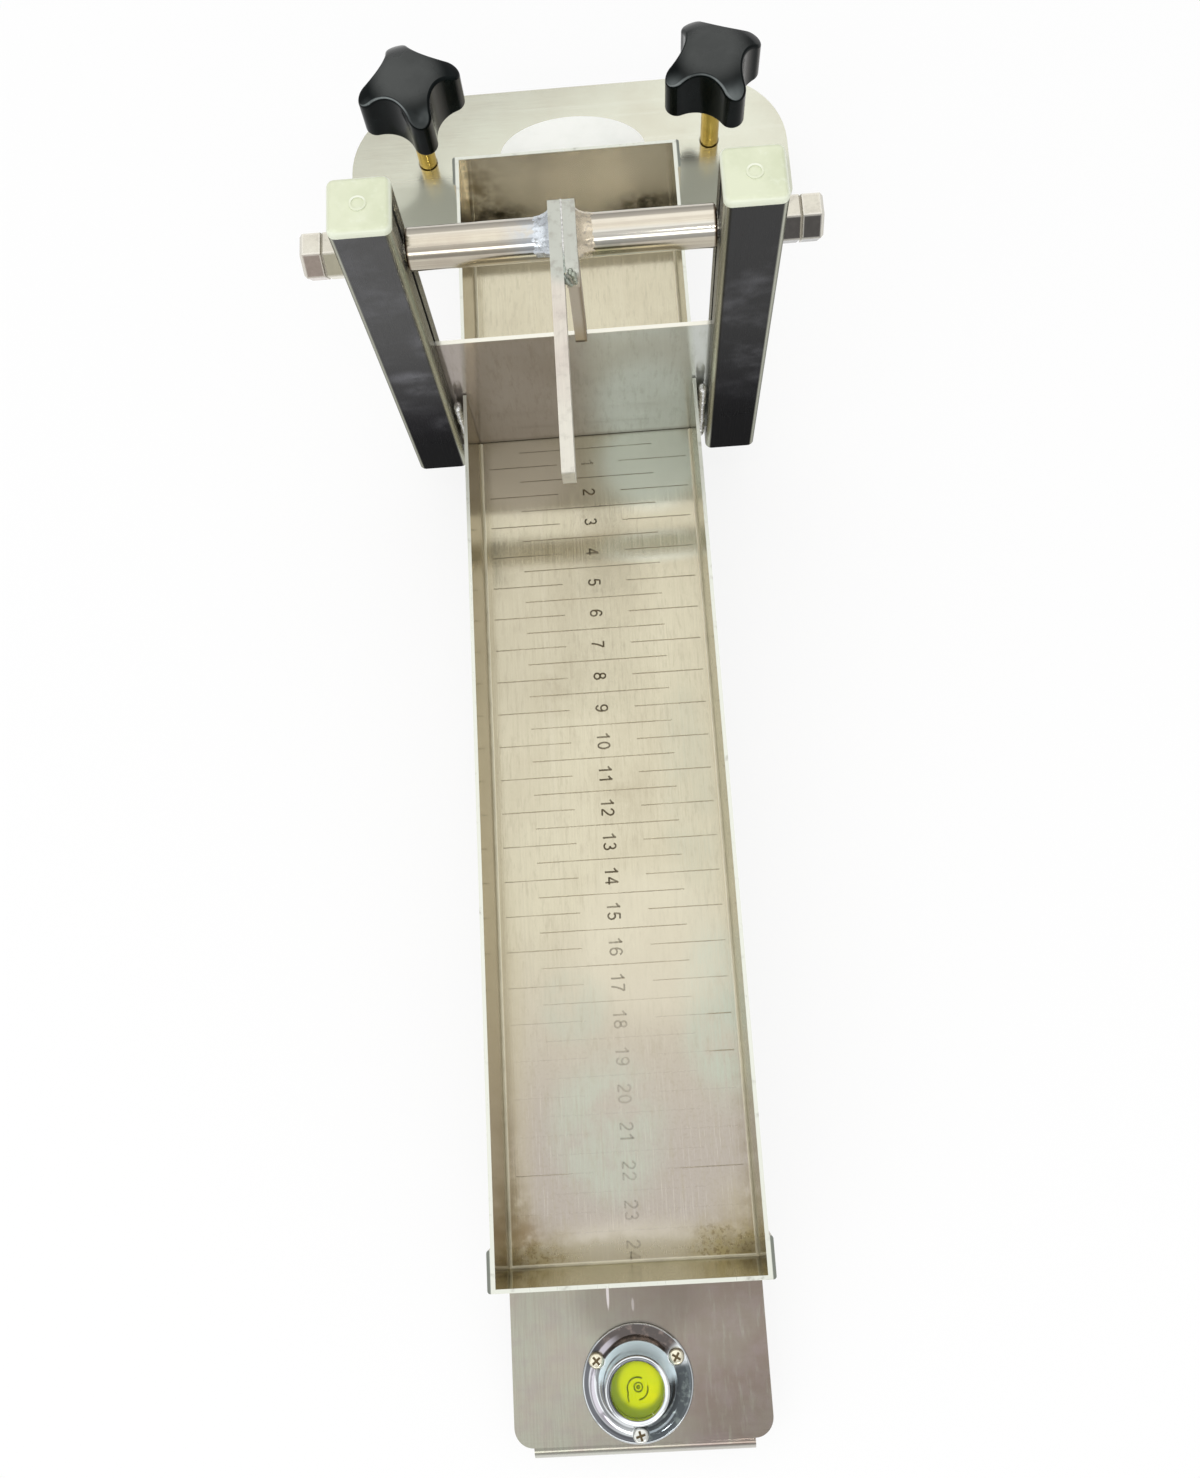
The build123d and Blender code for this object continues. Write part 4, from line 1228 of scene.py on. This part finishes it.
# level: fluid, ring and bubble under the glass
levelVial = {
    "fluidTop": 21.55 * mm, "fluidFloor": 16.45 * mm, "fluidRadius": 6.7 * mm, "markZ": 21.58 * mm,
    "ringRadius": 2.6 * mm, "ringWidth": 0.36 * mm, "ringDepth": 0.05 * mm, "ringArcs": ((62, 196), (-84, 12)),
    "tail": ((-2.4, -0.6), (-2.55, -1.9), (-2.3, -3.0)),
    "bubbleRadius": 1.05 * mm, "bubbleShift": (0.2 * mm, 0.3 * mm), "dotRadius": 0.32 * mm,
}
fluid = lathe("levelFluid", [
    (0.0, levelVial["fluidFloor"]), (levelVial["fluidRadius"], levelVial["fluidFloor"]),
    (levelVial["fluidRadius"], levelVial["fluidTop"]), (0.0, levelVial["fluidTop"])], (levelX, levelY, 0.0))
fluid.materials.append(levelLiquid)
fluidPiece = addPiece("levelFluid", fluid)
settle(fluidPiece, "frame")
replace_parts(fluidPiece, "level_liquid")


def vialRun(points, centre):
    return [(centre[0] + x, centre[1] + y, levelVial["markZ"]) for x, y in points]


bubbleCentre = (levelX + levelVial["bubbleShift"][0], levelY + levelVial["bubbleShift"][1])
vialRuns = [vialRun(bow(0, 0, levelVial["ringRadius"], levelVial["ringRadius"], *arc), (levelX, levelY))
            for arc in levelVial["ringArcs"]]
vialRuns.append(vialRun([metres(*point) for point in levelVial["tail"]], (levelX, levelY)))
for radius in (levelVial["bubbleRadius"], levelVial["dotRadius"]):
    vialRuns.append(vialRun(bow(0, 0, radius, radius, 0, 360), bubbleCentre))
ring = growPiece("levelRing", strokeTree, {
    "Breadth": levelVial["ringWidth"], "Depth": levelVial["ringDepth"], "Ink": ringInk},
    pathMesh("ringPaths", vialRuns))
settle(ring, "frame")

# three cross-slot screws of the level flange
levelScrews = {
    "count": 3, "radius": 12.0 * mm, "turn": 30.0, "headRadius": 2.1 * mm, "headHeight": 1.6 * mm,
    "shoulder": 0.45, "crown": 0.62, "roundSteps": 6, "turnSteps": 32,
    "slotLength": 2.5 * mm, "slotWidth": 0.6 * mm, "slotDepth": 0.8 * mm, "slotTurn": (0.2, 1.3), "seed": 7,
}


def crossHead(look):
    radius, height = look["headRadius"], look["headHeight"]
    shoulder, crown = look["shoulder"], look["crown"]
    profile = [(0.0, 0.0), (radius, 0.0), (radius, height * shoulder)]
    for step in range(1, look["roundSteps"] + 1):
        angle = math.pi / 2 * step / look["roundSteps"]
        profile.append((radius * (crown + (1 - crown) * math.cos(angle)),
                        height * (shoulder + (1 - shoulder) * math.sin(angle))))
    profile.append((0.0, height))
    head = addPiece("screwHead", lathe("screwHead", profile, (0, 0, 0), look["turnSteps"]))
    cutter = bmesh.new()
    slotSize = Matrix.Diagonal((look["slotLength"], look["slotWidth"], look["slotDepth"], 1.0))
    for turn in (0, 90):
        place = Matrix.Rotation(math.radians(turn), 4, "Z") @ Matrix.Translation((0, 0, height))
        bmesh.ops.create_cube(cutter, size=1.0, matrix=place @ slotSize)
    cutPiece = addPiece("crossCutter", toMesh("crossCutter", cutter))
    slotCut = head.modifiers.new("slots", "BOOLEAN")
    slotCut.object = cutPiece
    slotCut.solver = "EXACT"
    slotCut.use_self = True
    mesh = bpy.data.meshes.new_from_object(head.evaluated_get(bpy.context.evaluated_depsgraph_get()))
    bpy.data.objects.remove(head)
    bpy.data.objects.remove(cutPiece)
    smooth(mesh, 30)
    return mesh


def makeCircleTree(look):
    tree, given, out = newTree(
        "screwCircleTree", Count="Int", Radius="Float", Turn="Float", Centre="Vector", Metal="Material")
    circle = put(tree, "GeometryNodeMeshCircle", {"Vertices": given["Count"], "Radius": given["Radius"]})
    spin = put(tree, "ShaderNodeCombineXYZ", {"Z": given["Turn"]})
    placed = put(tree, "GeometryNodeTransform", {
        "Geometry": circle.outputs[0], "Translation": given["Centre"], "Rotation": spin.outputs[0]})
    drive = put(tree, "ShaderNodeCombineXYZ", {"Z": randomBetween(tree, *look["slotTurn"], look["seed"])})
    many = put(tree, "GeometryNodeInstanceOnPoints", {
        "Points": placed.outputs[0], "Instance": given["Geometry"], "Rotation": drive.outputs[0]})
    return endTree(tree, out, many, given["Metal"])


screws = growPiece("levelScrewHeads", makeCircleTree(levelScrews), {
    "Count": levelScrews["count"], "Radius": levelScrews["radius"], "Turn": math.radians(levelScrews["turn"]),
    "Centre": (levelX, levelY, screwTop - levelScrews["headHeight"]), "Metal": screwNickel},
    crossHead(levelScrews))
settle(screws, "frame")
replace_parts(screws, "level_screws")
print("level filled and screwed down")

# pale floor, even studio light and the camera
stageLook = {"floorSize": 6.0, "floorColour": (0.86, 0.86, 0.86, 1.0), "lift": 0.82, "zenith": 0.9, "horizon": 0.5}


def makeFloor(look):
    half = look["floorSize"] / 2
    mesh = bpy.data.meshes.new("paleFloor")
    mesh.from_pydata([(-half, -half, 0), (half, -half, 0), (half, half, 0), (-half, half, 0)], [], [(0, 1, 2, 3)])
    finish = bpy.data.materials.new("paleFloor")
    finish.use_nodes = True
    tree = finish.node_tree
    tree.nodes.clear()
    matte = put(tree, "ShaderNodeBsdfDiffuse", {"Color": look["floorColour"]})
    glow = put(tree, "ShaderNodeEmission", {"Color": (1, 1, 1, 1), "Strength": 1.0})
    rays = put(tree, "ShaderNodeLightPath").outputs
    direct = most(most(rays["Is Camera Ray"], rays["Is Glossy Ray"]), rays["Is Transmission Ray"])
    wires = {0: by(direct, look["lift"]), 1: matte.outputs[0], 2: glow.outputs[0]}
    both = put(tree, "ShaderNodeMixShader", wires)
    put(tree, "ShaderNodeOutputMaterial", {"Surface": both.outputs[0]})
    mesh.materials.append(finish)
    return addPiece("paleFloor", mesh)


makeFloor(stageLook)

world = bpy.data.worlds.new("softRoom")
scene.world = world
world.use_nodes = True
sky = world.node_tree
sky.nodes.clear()
up = axes(put(sky, "ShaderNodeTexCoord").outputs["Generated"])["Z"]
level = fade(up, 0.0, 0.9, stageLook["horizon"], stageLook["zenith"])
level = most(level, put(sky, "ShaderNodeLightPath").outputs["Is Camera Ray"])
room = put(sky, "ShaderNodeBackground", {"Color": (1, 1, 1, 1), "Strength": level})
put(sky, "ShaderNodeOutputWorld", {"Surface": room.outputs[0]})

lamps = {
    "overheadPanel": {"at": (-0.15, 0.30, 1.5), "aim": (0.0, 0.0, 0.0), "size": (1.85, 1.85), "power": 6.5},
    "sidePanel": {"at": (-1.1, -0.7, 0.9), "aim": (0.0, 0.0, 0.05), "size": (0.9, 0.9), "power": 2.2},
    "frontStrip": {"at": (0.0, -1.22, 0.83), "aim": (0.0, 0.08, 0.11), "size": (1.7, 0.32), "power": 4.4},
    "glintLamp": {"at": (0.15, -0.75, 1.05), "aim": (0.0, 0.15, 0.05), "size": (0.05, 0.05), "power": 0.35},
}
for name, lamp in lamps.items():
    data = bpy.data.lights.new(name, "AREA")
    data.shape = "RECTANGLE"
    data.size, data.size_y = lamp["size"]
    data.energy = lamp["power"]
    panel = addPiece(name, data)
    panel.location = lamp["at"]
    panel.rotation_euler = (Vector(lamp["aim"]) - Vector(lamp["at"])).to_track_quat("-Z", "Y").to_euler()

photoCamera = {
    "at": (0.0104526, -0.1114131, 0.3655392), "turn": (14.4234, 2.69397, -3.2515), "lens": 36.7939, "sensor": 36.0,
    "clip": 0.01,
}
cameraData = bpy.data.cameras.new("photoCamera")
cameraData.sensor_width = photoCamera["sensor"]
cameraData.sensor_fit = "HORIZONTAL"
cameraData.lens = photoCamera["lens"]
cameraData.clip_start = photoCamera["clip"]
camera = addPiece("photoCamera", cameraData)
camera.location = photoCamera["at"]
camera.rotation_euler = [math.radians(part) for part in photoCamera["turn"]]
scene.camera = camera
scene.view_settings.view_transform = "Standard"
print("stage lit")

bpy.context.view_layer.update()
